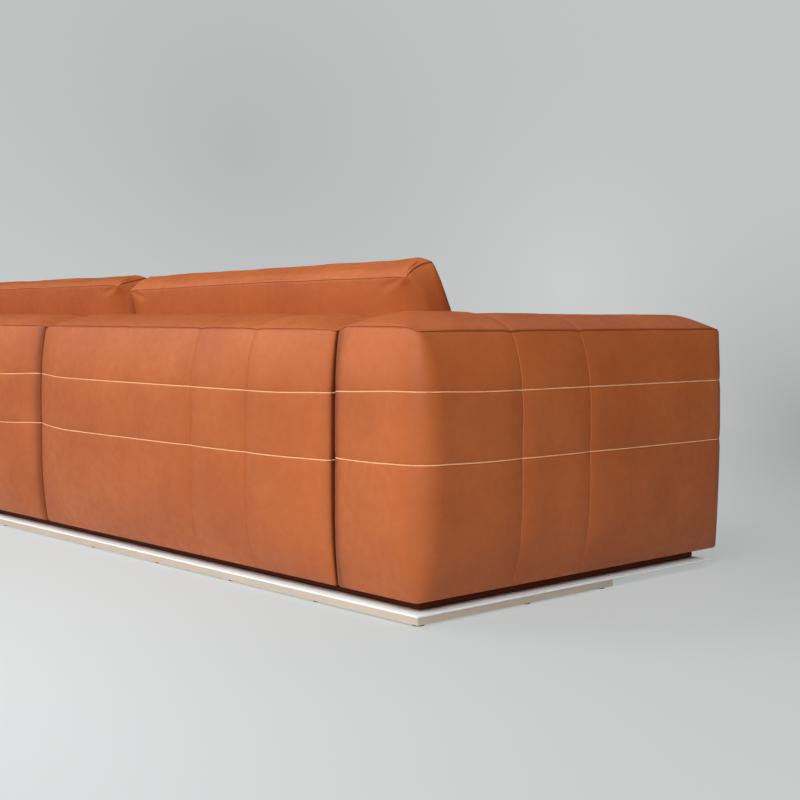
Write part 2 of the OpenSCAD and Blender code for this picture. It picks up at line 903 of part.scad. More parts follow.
// Corners of the wedge as [y, z]
wedge_rear_foot = [cushion_rear_y, back_cushion_z];
wedge_front_foot = [cushion_front_y, back_cushion_z];
wedge_rear_top = [cushion_rear_y + back_cushion_lean, cushion_seam_z];
wedge_front_top = wedge_rear_top + [-back_cushion_top, back_cushion_tilt];

// Bends an upright block over the foot into the wedge
function wedge(p) =
    let (
        across = (p.y - cushion_front_y) / back_cushion_foot,
        up = (p.z - back_cushion_z) / back_cushion_h,
        foot = wedge_front_foot + across * (wedge_rear_foot - wedge_front_foot),
        top = wedge_front_top + across * (wedge_rear_top - wedge_front_top),
        q = foot + up * (top - foot)
    )
    [p.x, q.x, q.y];

function wedge_corner(y, z) = let (p = wedge([0, y, z])) [p.y, p.z];

module cushion_space(z_low, z_high) {
    front = cushion_front_y + cushion_wall;
    rear = cushion_rear_y - cushion_wall;
    translate([cushion_low_x + cushion_wall, 0, 0])
        rotate([90, 0, 90])
            linear_extrude(cushion_high_x - cushion_low_x - 2 * cushion_wall)
                polygon([
                    wedge_corner(front, z_low),
                    wedge_corner(rear, z_low),
                    wedge_corner(rear, z_high),
                    wedge_corner(front, z_high)
                ]);
}

module back_cushion_cover_right() {
    third = (cushion_high_x - cushion_low_x) / 3;
    color(leather)
        difference() {
            padded_form(
                x_marks = [cushion_low_x, cushion_low_x + third, cushion_high_x - third, cushion_high_x],
                y_marks = [cushion_front_y, cushion_rear_y],
                z_low = back_cushion_z,
                z_seam = cushion_seam_z,
                radii = [[cushion_corner_r, cushion_corner_r], [cushion_corner_r, cushion_corner_r]],
                rise = back_cushion_rise,
                reach = cushion_reach,
                swells = [
                    back_cushion_swell, back_cushion_swell,
                    back_cushion_swell + draw_in, cushion_rear_swell
                ],
                inset = draw_in,
                row_shares = back_cushion_row_shares,
                warp = function (p) wedge(p)
            );
            cushion_space(back_cushion_z - cut, cushion_seam_z - cushion_wall);
        }
}

module back_cushion_fill_right() {
    color(foam) cushion_space(back_cushion_z + underside_t, cushion_seam_z - cushion_wall);
}

module back_cushion_underside_right() {
    color(lining) cushion_space(back_cushion_z, back_cushion_z + underside_t);
}

base_plate("rear");  // base_plate_rear
base_plate("front");  // base_plate_front
base_plate("right");  // base_plate_right
base_plate("left");  // base_plate_left
base_rail_rear();
base_rail_front();
base_rail_right();
mirrored() base_rail_right();  // base_rail_left
glides();
plinth("rear");  // plinth_rear
plinth("front");  // plinth_front
plinth("right");  // plinth_right
plinth("left");  // plinth_left
base_screws();
seat_frame_front_rail();
seat_frame_rear_rail();
seat_frame_end_right();
mirrored() seat_frame_end_right();  // seat_frame_end_left
seat_frame_cross_members();
seat_frame_corner_blocks();
webbing_cross();
webbing_long();
seat_base_foam();
seat_base_cover();
dust_cover();
connector_plates();
connector_screws();
block_frame(arm_plan);  // arm_frame_right
mirrored() block_frame(arm_plan);  // arm_frame_left
block_foam(arm_plan);  // arm_foam_right
mirrored() block_foam(arm_plan);  // arm_foam_left
arm_cover_right();
mirrored() arm_cover_right();  // arm_cover_left
block_frame(back_plan);  // back_frame_right
mirrored() block_frame(back_plan);  // back_frame_left
block_foam(back_plan);  // back_foam_right
mirrored() block_foam(back_plan);  // back_foam_left
back_cover_right();
mirrored() back_cover_right();  // back_cover_left
seat_cushion_cover_right();
mirrored() seat_cushion_cover_right();  // seat_cushion_cover_left
seat_cushion_core_right();
mirrored() seat_cushion_core_right();  // seat_cushion_core_left
seat_cushion_underside_right();
mirrored() seat_cushion_underside_right();  // seat_cushion_underside_left
back_cushion_cover_right();
mirrored() back_cushion_cover_right();  // back_cushion_cover_left
back_cushion_fill_right();
mirrored() back_cushion_fill_right();  // back_cushion_fill_left
back_cushion_underside_right();
mirrored() back_cushion_underside_right();  // back_cushion_underside_left
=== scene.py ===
"""Looks of a two-seat leather sofa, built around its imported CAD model.

Left and right are as seated, so right is -X. The front is -Y and the floor is z = 0.
Lengths are in metres. Right-hand pieces are drawn, and left-hand ones are mirrored.
"""

import math

import bpy
import numpy as np
from mathutils import Matrix, Vector, noise


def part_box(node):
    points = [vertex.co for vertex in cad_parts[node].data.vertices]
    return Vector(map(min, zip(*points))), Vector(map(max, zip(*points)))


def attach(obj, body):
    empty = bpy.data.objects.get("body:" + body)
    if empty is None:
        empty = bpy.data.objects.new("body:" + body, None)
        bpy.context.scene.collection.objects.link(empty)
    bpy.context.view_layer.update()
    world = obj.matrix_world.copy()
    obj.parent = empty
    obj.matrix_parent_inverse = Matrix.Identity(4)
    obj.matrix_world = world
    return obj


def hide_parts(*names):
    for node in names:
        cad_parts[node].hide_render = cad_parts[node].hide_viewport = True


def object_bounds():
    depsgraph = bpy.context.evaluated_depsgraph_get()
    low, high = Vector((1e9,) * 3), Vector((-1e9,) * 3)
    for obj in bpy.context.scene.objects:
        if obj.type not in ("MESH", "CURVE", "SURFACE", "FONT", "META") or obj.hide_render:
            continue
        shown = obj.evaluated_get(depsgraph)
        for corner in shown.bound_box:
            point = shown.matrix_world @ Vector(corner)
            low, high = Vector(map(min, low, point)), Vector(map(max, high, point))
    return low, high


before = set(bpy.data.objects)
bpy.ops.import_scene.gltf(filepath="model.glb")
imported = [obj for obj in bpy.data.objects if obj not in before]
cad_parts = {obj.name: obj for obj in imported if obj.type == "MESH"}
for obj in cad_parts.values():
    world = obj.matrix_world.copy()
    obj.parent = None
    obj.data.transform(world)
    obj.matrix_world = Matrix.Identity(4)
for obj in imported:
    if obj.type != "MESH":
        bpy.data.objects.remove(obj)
cad_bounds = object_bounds()
scene = bpy.context.scene

# Camera, placed from the rear right corner of the base plate
CAMERA_FROM_CORNER = (-1.9888, 1.8698)
CAMERA_HEIGHT = 0.625
CAMERA_YAW = math.radians(47.53)
CAMERA_PITCH = math.radians(3.475)
CAMERA_ROLL = math.radians(0.111)
CAMERA_LENS = 61.83

# What the CAD model holds inside its soft covers
SKIN = 0.014
CUSHION_WALL = 0.026
SEAT_WALL = 0.03

# How a stuffed wall swells between its seam and its foot
BELLY_REACH_SHARE = 0.35
BELLY_POWER = 2.6
DOME_POWER = 0.7

# Grid steps: the finest ones at ends and seams, and how fast they widen away from them
FINE_STEP = 0.0009
STEP_GROWTH = 0.22

# Each side's seed for its uneven leather, and what each kind of piece adds to it
SIDES = {"right": 0, "left": 20}
SEEDS = {"arm": 0, "back": 5, "seat": 9, "back_cushion": 13}

# Waves per metre of the uneven leather, across and down
SEAM_WAVES = (7, 0)
FOLD_WAVES = (13, 2.2)
CREASE_WAVES = (34, 11)
PUCKER_WAVES = (55, 6)
CHANNEL_WAVES = (9, 30)
CREASE_SHARE = 0.25
# On a top: waves per metre, and the level at which they cut through the noise
TOP_FOLDS = (9, 0.4)
TOP_CREASES = (30, 0.7)
TOP_FOLD_SHARE = 0.8
TOP_CREASE_SHARE = 0.3

# Depth and width of the valley along a channel seam, of that along a thread and around it
CHANNEL_VALLEY = (0.0014, 0.0013)
THREAD_VALLEY = (0.0014, 0.0022)
THREAD_HOLLOW = (0.0012, 0.014)
CHANNEL_PUCKER = 0.0006
PUCKER_REACH = 0.02
DENT_SLANT = 0.3
LIP_PLACE = 0.003
LIP_WIDTH = 0.0016
INSET_REACH = 0.04

# Reaches of the seam's own shape, and how deep it is felt in the wall under it
SEAM_REACH = 0.08
SEAM_DIP_REACH = 0.014
SEAM_SHIFT = 0.05
LIFT_REACH = 0.11
LIFT_DEPTH = 0.06

# How dark the painted shade in a seam is, and how far it spreads over the leather beside it
SEAM_PAINTED_SHADE = 0.5
PAINTED_SHADE_WIDTH = 0.001
# Where the painted shade in a groove starts, over what depth it grows full, and how far its wall is
# flat
GROOVE_PAINTED_SHADE_START = 0.003
GROOVE_PAINTED_SHADE_DEPTH = 0.007
GROOVE_FLAT = 0.02
# How far the painted shade spreads over the faces beside a groove
BESIDE_PAINTED_SHADE_REACH = 0.011

# Arms and back
FOOT_R = 0.009
SEAM_SINK = 0.0025
CROWN_RISE = 0.0355
WALL_SWELL = 0.034
GROOVE_SWELL = 0.0016
ARM_FRONT_REACH = 0.0115
CHANNEL_START = 0.277
CHANNEL_STEP = 0.222
CHANNEL_DIP = 0.003
CHANNEL_REACH = 0.028
HOLD_REACH = 0.3
GROOVE_HOLD_SHARE = 0.4
CORNER_DROP = 0.004
# Corners beside a groove, where each back is square at its right end and rounder at its left:
# the radius, how much rounder the full wall is, and how far the seam drops
SQUARE_CORNER = (0.008, 0, 0.002)
ROUNDER_CORNER = (0.016, 0.008, 0.013)
GROOVE_R, GROOVE_R_GROWTH, GROOVE_DROP = ROUNDER_CORNER
BLOCK_STEP = 0.01
BLOCK_HEM = 0.054
BLOCK_HEM_RISE = 0.008
# Heights taken from the CAD model
BLOCK_HEIGHTS = {
    "z_low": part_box("arm_foam_right")[0].z,
    "z_seam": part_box("arm_foam_right")[1].z + SKIN - SEAM_SINK,
}
PLATE_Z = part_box("base_plate_rear")[0].z

ARM_SHAPE = {
    "radii": ((0.018, 0.018), (0.03, GROOVE_R)),
    "growth": ((0.06, 0.018), (0, GROOVE_R_GROWTH)),
    "foot_r": FOOT_R,
    "holds": ((1, 1), (1, GROOVE_HOLD_SHARE)),
    "grooves": (0, 1),
    # Painted shade on the faces beside the groove at the high x end
    "end_shades": (0, 0.6),
    "rise": CROWN_RISE + CHANNEL_DIP,
    "reaches": (0.115, 0.115, 0.08, 0.135),
    "swells": (WALL_SWELL, GROOVE_SWELL, 0.005, WALL_SWELL),
    "puffs": (0.006, 0, 0, 0),
    "dips": (0, CHANNEL_DIP),
    "drops": ((CORNER_DROP, CORNER_DROP), (CORNER_DROP, GROOVE_DROP)),
    "seam_lifts": (0, 0.0085),
    "lifts": (-0.002, 0, 0.0045),
    "threads": (0.47, 0.3245),
    "thread_lifts": (((0, 0.005), (0, -0.004)), ((0, 0.004), (0, 0))),
    "looseness": (1, 0, 0.6, 1),
}
BACK_SHAPE = {
    "foot_r": FOOT_R,
    "holds": ((1, GROOVE_HOLD_SHARE), (1, GROOVE_HOLD_SHARE)),
    "grooves": (1, 1),
    "rise": CROWN_RISE,
    "reaches": (0.125, 0.125, 0.125, 0.125),
    "swells": (GROOVE_SWELL, GROOVE_SWELL, 0.01, WALL_SWELL),
    "puffs": (0, 0, 0, 0.009),
    "dips": (CHANNEL_DIP, 0),
    "seam_lifts": (0, 0.002),
    "threads": (0.457, 0.3165),
    "thread_lifts": (((0, 0.005), (0, 0.006)), ((0, 0.001), (0, 0.007))),
    "looseness": (0, 0, 0.3, 1),
}
# How dark the painted shade is beside the groove at the low and high x end of each back
BACK_PAINTED_SHADES = {"right": (0.05, 0.1), "left": (0.1, 0.5)}

# Thread lines
THREAD_R = 0.0013
THREAD_PROUD_SHARE = 0.5
THREAD_STEP = 0.0024
THREAD_SIDES = 8
# A stitch is thinnest where it goes into the leather
STITCH_LENGTH = 0.012
STITCH_WAIST_SHARE = 0.72
STITCH_POWER = 0.4

# How far the sides of a cushion are drawn in between its corners, and its grid
DRAW_IN = 0.006
CUSHION_STEP = 0.012

# Seat cushions
SEAT_SHAPE = {
    "radii": ((0.04, 0.02), (0.04, 0.02)),
    "foot_r": FOOT_R,
    "rise": 0.027,
    "reaches": (0.15, 0.15, 0.15, 0.15),
    "swells": (0.004, 0.004, 0.012 + DRAW_IN, 0.003),
    "drops": ((0.004, 0.002), (0.004, 0.002)),
    "inset": DRAW_IN,
    "fold": 0.0022,
    "pucker": 0.001,
    "looseness": (0.4, 0.4, 1, 0.2),
}

# Back cushions
CUSHION_HEIGHT = 0.27
CUSHION_FOOT = 0.209
CUSHION_TOP = 0.083
CUSHION_LEAN = 0.021
CUSHION_SHAPE = {
    "radii": ((0.03, 0.012), (0.03, 0.012)),
    "growth": ((0.045, 0.085), (0.045, 0.085)),
    "foot_r": FOOT_R,
    "rise": 0.013,
    "reaches": (0.035, 0.035, 0.07, 0.07),
    "swells": (0.024, 0.024, 0.024 + DRAW_IN, 0.003),
    "drops": ((0.003, 0.004), (0.003, 0.004)),
    "inset": DRAW_IN,
    "wave": 0.0016,
    "fold": 0.003,
    "pucker": 0.0014,
    "looseness": (1, 1, 1, 0.3),
    # Dents under the rear seam: from the end, below the seam, length, width and depth
    "dents": ((0.05, 0.013, 0.035, 0.007, 0.0065), (0.01, 0.024, 0.014, 0.016, 0.004)),
}
# The outer end: how far it is moved out, flares at the front and bows up between its corners
CUSHION_OUTER_SHIFT = 0.007
CUSHION_FLARE = 0.015
CUSHION_END_BOW = 0.007
CUSHION_BOW_SHARE = 0.06
# The two cushions lie a little differently: how much higher the front of the top is and the
# seam runs at the outer and inner end, how far the inner end reaches, and how much deeper it is
CUSHION_TILT = {"right": 0.038, "left": 0.024}
CUSHION_LIFTS = {"right": (0.005, -0.012), "left": (-0.001, 0.006)}
CUSHION_SHIFT = {"right": 0.0, "left": 0.016}
CUSHION_TURN = {"right": 0.0, "left": 0.03}

# Fabric panels under the cushions
PANEL_GAP = 0.0005
PANEL_TOP = 0.002
PANEL_STEP = 0.03
PANEL_HEM = 0.002
PANEL_HEM_RISE = 0.0002
PANEL_SHAPE = {
    "radii": ((0.004, 0.004), (0.004, 0.004)),
    "rise": 0.0005,
    "reaches": (0.01, 0.01, 0.01, 0.01),
    "swells": (0, 0, 0, 0),
    "wave": 0,
    "fold": 0.0003,
    "pucker": 0,
    "pinch": 0.0003,
    "lip": 0,
}
# How far the cover's hem runs up inside, behind the panel
COVER_HEM_RISE = 0.0035

# Seat base: the leather border along the front, and the platform under the cushions
BORDER_SWELL = 0.005
BORDER_R = 0.031
BORDER_TURNS = 12
BORDER_DEPTH = 0.05
BORDER_STEP = 0.012
BORDER_HEM = (0.003, 0.002)
BORDER_FOLD = 0.0012
BORDER_NOISE = (11, 3, 0.2, 40)
CENTRE_SEAM = (0.002, 0.002)
DECK_SEAM = (0.0015, 0.002)
DECK_SEAM_PLACE = 0.02
DECK_STEP = 0.03
DECK_THICKNESS = 0.004
DECK_FLATNESS = 0.001
PLATFORM_STEP = 0.02

# Dust cover: thin fabric that is stapled under the frame and hangs a little between its edges
DUST_STEPS = (0.05, 0.03)
DUST_FINE_STEPS = (0.01, 0.008)
DUST_SAG = 0.002
DUST_RIPPLE = 0.0008
DUST_NOISE = (5, 9, 0.3, 50)

# Broken edges of the metal bars and the plinth
BEVEL_WIDTH = 0.0006
BEVEL_ANGLE = math.radians(40)
WELD_DISTANCE = 0.00001


def add_object(name, data):
    made = bpy.data.objects.new(name, data)
    scene.collection.objects.link(made)
    return made


def make_camera():
    """The camera at the photograph's viewing angle."""
    corner_low, corner_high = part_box("base_plate_rear")
    data = bpy.data.cameras.new("camera")
    data.lens = CAMERA_LENS
    camera = add_object("camera", data)
    x = corner_low.x + CAMERA_FROM_CORNER[0]
    y = corner_high.y + CAMERA_FROM_CORNER[1]
    place = Vector((x, y, CAMERA_HEIGHT))
    yaw = Matrix.Rotation(math.pi + CAMERA_YAW, 4, "Z")
    pitch = Matrix.Rotation(math.pi / 2 - CAMERA_PITCH, 4, "X")
    roll = Matrix.Rotation(CAMERA_ROLL, 4, "Z")
    camera.matrix_world = Matrix.Translation(place) @ yaw @ pitch @ roll
    scene.camera = camera


make_camera()


# Node helpers for the materials


class Nodes:
    """The nodes of a material or world, built one at a time."""

    def __init__(self, owner):
        owner.use_nodes = True
        self.tree = owner.node_tree
        self.tree.nodes.clear()

    def add(self, kind, values=None, inputs=None):
        node = self.tree.nodes.new(kind)
        for name, value in (values or {}).items():
            setattr(node, name, value)
        for name, value in (inputs or {}).items():
            self.put(node.inputs[name], value)
        return node

    def put(self, socket, value):
        """Links an output socket to a socket, or sets its value; a tone has no alpha."""
        if isinstance(value, bpy.types.NodeSocket):
            self.tree.links.new(value, socket)
        elif socket.type == "RGBA":
            socket.default_value = (*value, 1)
        else:
            socket.default_value = value

    def place(self, scale=(1, 1, 1)):
        """Coordinates in metres in the sofa's own frame, scaled."""
        source = self.add("ShaderNodeTexCoord").outputs["Object"]
        inputs = {"Vector": source, "Scale": scale}
        return self.add("ShaderNodeMapping", inputs=inputs).outputs["Vector"]

    def noise(self, vector, scale, detail=3, roughness=0.5, distortion=0):
        inputs = {"Vector": vector, "Scale": scale, "Detail": detail}
        inputs.update({"Roughness": roughness, "Distortion": distortion})
        return self.add("ShaderNodeTexNoise", inputs=inputs).outputs["Fac"]

    def cells(self, vector, scale, feature="F1"):
        values = {"feature": feature}
        inputs = {"Vector": vector, "Scale": scale}
        return self.add("ShaderNodeTexVoronoi", values, inputs).outputs["Distance"]

    def wave(self, direction, scale, distortion=0):
        values = {"bands_direction": direction}
        inputs = {"Vector": self.place(), "Scale": scale, "Distortion": distortion}
        return self.add("ShaderNodeTexWave", values, inputs).outputs["Fac"]

    def fit(self, value, low, high, to_low=0, to_high=1):
        """A value stretched from one range to another, and kept in it."""
        inputs = {"Value": value, 1: low, 2: high, 3: to_low, 4: to_high}
        return self.add("ShaderNodeMapRange", inputs=inputs).outputs["Result"]

    def math(self, operation, a, b):
        return self.add("ShaderNodeMath", {"operation": operation}, {0: a, 1: b}).outputs[0]

    def vector(self, operation, a, b=(0, 0, 0), output="Vector"):
        """Vector arithmetic; a length or a distance is its output Value."""
        node = self.add("ShaderNodeVectorMath", {"operation": operation}, {0: a, 1: b})
        return node.outputs[output]

    def mix(self, share, a, b):
        """A tone that goes from a to b."""
        inputs = {"Factor": share, 6: a, 7: b}
        return self.add("ShaderNodeMix", {"data_type": "RGBA"}, inputs).outputs[2]

    def mix_shaders(self, share, a, b):
        return self.add("ShaderNodeMixShader", inputs={0: share, 1: a, 2: b}).outputs[0]

    def bump(self, height, distance, strength, normal=None):
        inputs = {"Height": height, "Distance": distance, "Strength": strength}
        if normal is not None:
            inputs["Normal"] = normal
        return self.add("ShaderNodeBump", inputs=inputs).outputs["Normal"]


def surface(name, paint):
    """A material: paint gets the nodes and returns the inputs of its one shader."""
    made = bpy.data.materials.new(name)
    nodes = Nodes(made)
    shader = nodes.add("ShaderNodeBsdfPrincipled", inputs=paint(nodes))
    nodes.add("ShaderNodeOutputMaterial", inputs={"Surface": shader.outputs["BSDF"]})
    return made


def coat(tone, roughness, normal, specular=0.5, metallic=0, sheen=0):
    """The inputs of a material's shader."""
    return {
        "Base Color": tone,
        "Roughness": roughness,
        "Normal": normal,
        "Specular IOR Level": specular,
        "Metallic": metallic,
        "Sheen Weight": sheen,
    }


def leather(nodes):
    """Soft tan aniline leather: cloudy colour, pores, a fine pebble and faint creases, darkened by
    painted shade in seams, in grooves and beside grooves.
    """
    place = nodes.place()
    clouds = nodes.fit(nodes.noise(place, 5, 5, 0.55), 0.3, 0.7)
    mottle = nodes.fit(nodes.noise(place, 45, 4, 0.6), 0.35, 0.65)
    dye_and_painted_shade = nodes.mix(clouds, (0.42, 0.096, 0.02), (0.52, 0.132, 0.031))
    dye_and_painted_shade = nodes.mix(nodes.math("MULTIPLY", mottle, 0.22), dye_and_painted_shade, (0.355, 0.077, 0.016))
    # Painted shade: the leather is mixed towards near black where the mesh's seam and groove value
    # is high
    shade = nodes.add("ShaderNodeAttribute", {"attribute_name": "seam_shade"}).outputs["Fac"]
    dye_and_painted_shade = nodes.mix(nodes.math("MULTIPLY", shade, 0.9), dye_and_painted_shade, (0.09, 0.014, 0.003))
    pebble = nodes.cells(place, 620)
    pores = nodes.fit(nodes.cells(place, 1500, "DISTANCE_TO_EDGE"), 0.0, 0.16)
    creases = nodes.noise(nodes.place((1, 1, 0.5)), 70, 6, 0.62, 0.6)
    normal = nodes.bump(creases, 0.0016, 0.25)
    normal = nodes.bump(pebble, 0.0005, 0.35, normal)
    normal = nodes.bump(pores, 0.0002, 0.3, normal)
    return coat(dye_and_painted_shade, nodes.fit(mottle, 0, 1, 0.46, 0.56), normal, specular=0.34)


def cotton_thread(nodes):
    """Thick cream thread with a slanted twist."""
    twist = nodes.wave("DIAGONAL", 260, 1.5)
    tone = nodes.mix(twist, (0.86, 0.43, 0.2), (1.0, 0.58, 0.31))
    return coat(tone, 0.75, nodes.bump(twist, 0.0003, 0.5), specular=0.2)


def stainless(nodes):
    """Matt brushed stainless steel with a faint grain and soft smudges.

    The plate is painted a cool near white, paler and less metallic than the rail: a painted
    highlight.
    """
    grain = nodes.noise(nodes.place((6, 6, 900)), 3, 4, 0.6)
    smudge = nodes.noise(nodes.place(), 9, 4, 0.55)
    tone = nodes.mix(smudge, (0.78, 0.68, 0.57), (0.84, 0.74, 0.63))
    height = nodes.add("ShaderNodeSeparateXYZ", inputs={"Vector": nodes.place()}).outputs["Z"]
    # Painted highlight: the plate's height band gets a near-white tone and almost no metal
    plate = nodes.fit(height, PLATE_Z - 0.0002, PLATE_Z)
    tone = nodes.mix(plate, tone, (0.94, 0.99, 0.99))
    roughness = nodes.fit(smudge, 0.3, 0.7, 0.5, 0.6)
    metallic = nodes.fit(plate, 0, 1, 1, 0.05)
    return coat(tone, roughness, nodes.bump(grain, 0.00008, 0.35), metallic=metallic)


def plinth_wood(nodes):
    """Dark brown stained and lacquered wood."""
    rings = nodes.noise(nodes.place((1.4, 1.4, 30)), 9, 6, 0.6, 1.2)
    tone = nodes.mix(rings, (0.085, 0.016, 0.004), (0.14, 0.032, 0.009))
    roughness = nodes.fit(rings, 0.2, 0.8, 0.34, 0.46)
    return coat(tone, roughness, nodes.bump(rings, 0.0003, 0.2), specular=0.04)


def glide_plastic(nodes):
    """Black moulded plastic with a fine spark-eroded texture."""
    grit = nodes.noise(nodes.place(), 1800, 2)
    tone = nodes.mix(grit, (0.012, 0.012, 0.012), (0.03, 0.03, 0.03))
    return coat(tone, 0.5, nodes.bump(grit, 0.0001, 0.4))


def zinc_steel(nodes):
    """Bright zinc plating with its spangle."""
    spangle = nodes.cells(nodes.place(), 220)
    tone = nodes.mix(spangle, (0.5, 0.52, 0.54), (0.68, 0.69, 0.7))
    roughness = nodes.fit(spangle, 0, 1, 0.3, 0.45)
    return coat(tone, roughness, nodes.bump(spangle, 0.00005, 0.3), metallic=1)


def hardwood(nodes):
    """Planed beech with short dark flecks."""
    grain = nodes.noise(nodes.place((2, 2, 40)), 6, 6, 0.6, 0.8)
    fleck = nodes.fit(nodes.noise(nodes.place((30, 30, 400)), 2, 2), 0.6, 0.7)
    tone = nodes.mix(grain, (0.5, 0.32, 0.17), (0.66, 0.45, 0.26))
    tone = nodes.mix(nodes.math("MULTIPLY", fleck, 0.4), tone, (0.3, 0.16, 0.08))
    return coat(tone, 0.6, nodes.bump(grain, 0.0004, 0.3))


def plywood(nodes):
    """Birch plywood with glue lines between its plies."""
    plies = nodes.wave("Z", 110)
    grain = nodes.noise(nodes.place((4, 4, 60)), 5, 5, 0.6)
    tone = nodes.mix(grain, (0.58, 0.42, 0.25), (0.72, 0.56, 0.36))
    line = nodes.math("MULTIPLY", nodes.fit(plies, 0.85, 1), 0.5)
    tone = nodes.mix(line, tone, (0.3, 0.18, 0.09))
    return coat(tone, 0.65, nodes.bump(grain, 0.0003, 0.3))


def woven(dark, light, pitch):
    """A plain weave with yarns at a pitch, in two tones."""

    def paint(nodes):
        size = 1 / pitch
        yarn = nodes.math("MULTIPLY", nodes.wave("X", size / 3), nodes.wave("Y", size / 3))
        fluff = nodes.noise(nodes.place(), 300, 3)
        tone = nodes.mix(yarn, dark, light)
        tone = nodes.mix(nodes.math("MULTIPLY", fluff, 0.3), tone, dark)
        return coat(tone, 0.85, nodes.bump(yarn, 0.0004, 0.6), sheen=0.15)

    return paint


PAINTS = {
    "leather_tan": leather,
    "thread": cotton_thread,
    "stainless": stainless,
    "plinth_wood": plinth_wood,
    "glide_plastic": glide_plastic,
    "zinc_steel": zinc_steel,
    "hardwood": hardwood,
    "plywood": plywood,
    "webbing": woven((0.03, 0.03, 0.03), (0.3, 0.28, 0.25), 0.003),
    "dust_fabric": woven((0.006, 0.006, 0.006), (0.03, 0.03, 0.03), 0.0016),
    "lining": woven((0.1, 0.05, 0.028), (0.26, 0.15, 0.09), 0.0014),
}
MATERIALS = {name: surface(name, paint) for name, paint in PAINTS.items()}


# Meshes


def make_piece(name, points, faces, slot_name, material=None, shade=None):
    """A mesh object of the sofa with one material; its painted shade is 1 in the depth of a seam.
    """
    mesh = bpy.data.meshes.new(name)
    mesh.from_pydata(np.asarray(points).reshape(-1, 3).tolist(), [], faces)
    mesh.polygons.foreach_set("use_smooth", [True] * len(mesh.polygons))
    mesh.materials.append(MATERIALS[material or slot_name])
    if shade is not None:
        mesh.attributes.new("seam_shade", "FLOAT", "POINT").data.foreach_set("value", shade)
    mesh.validate()
    mesh.update()
    piece = add_object(name, mesh)
    return piece


def places(low, high, step, spots=(), fine=FINE_STEP):
    """Places from low to high: fine at both ends and at each spot, wider away from them."""
    stops = sorted({low, high, *spots})
    found = [low]
    for a, b in zip(stops, stops[1:]):
        half = (b - a) / 2
        away = [0.0]
        while away[-1] < half:
            away.append(away[-1] + min(step, fine + STEP_GROWTH * away[-1]))
        scale = half / away[-1]
        found += [a + scale * v for v in away[1:]]
        found += [b - scale * v for v in away[-2::-1]]
    return np.array(found)


def ripple(x, y, z, seed):
    """Smooth noise from -1 to 1 at places that are already scaled."""
    x, y, z = np.broadcast_arrays(x, y, z)
    found = [noise.noise((a + seed, b, c)) for a, b, c in zip(x.flat, y.flat, z.flat)]
    return np.array(found).reshape(x.shape)


def ripple_over(u, v, waves_u, waves_v, level, seed):
    """Noise over a sheet: waves per metre along both sides, and a level and seed of its own."""
    return ripple(waves_u * u, waves_v * v, level, seed)


def near(distance, width):
    """1 on a line and almost 0 a few widths away from it."""
    return np.exp(-((distance / width) ** 2))


def valley(distance, size):
    """How deep a valley is at a distance from its line; size is its depth and width."""
    depth, width = size
    return depth * near(distance, width)


def fullness(v, marks, reach):
    """0 on a channel seam and almost 1 a few reaches away from it."""
    if len(marks) == 2:
        return 1
    away = np.min([np.abs(v - mark) for mark in marks[1:-1]], axis=0)
    return 1 - np.exp(-away / reach)


def bow(v, low, high):
    """0 at both ends of a range and 1 in its middle."""
    return np.sin(np.pi * np.clip((v - low) / (high - low), 0, 1))


def filled(share):
    """Rises steeply from 0 and levels out at 1."""
    return 1 - (1 - np.clip(share, 0, 1)) ** BELLY_POWER


def smooth(share):
    """Eases from 0 to 1."""
    s = np.clip(share, 0, 1)
    return s * s * (3 - 2 * s)


def belly(share):
    """How far a wall swells at a share of the way down: little at its ends, flat between."""
    return filled(np.minimum(share, 1 - share) / BELLY_REACH_SHARE)


def of_faces(values, out_x, out_y):
    """Of values for each face: those for the x and y face that a wall turns to."""
    return np.where(out_x < 0, *values[:2]), np.where(out_y < 0, *values[2:])


def held_from(hold, distance):
    """The share of its swell that a wall has at a distance from a groove that holds it."""
    return hold + (1 - hold) * filled(distance / HOLD_REACH)


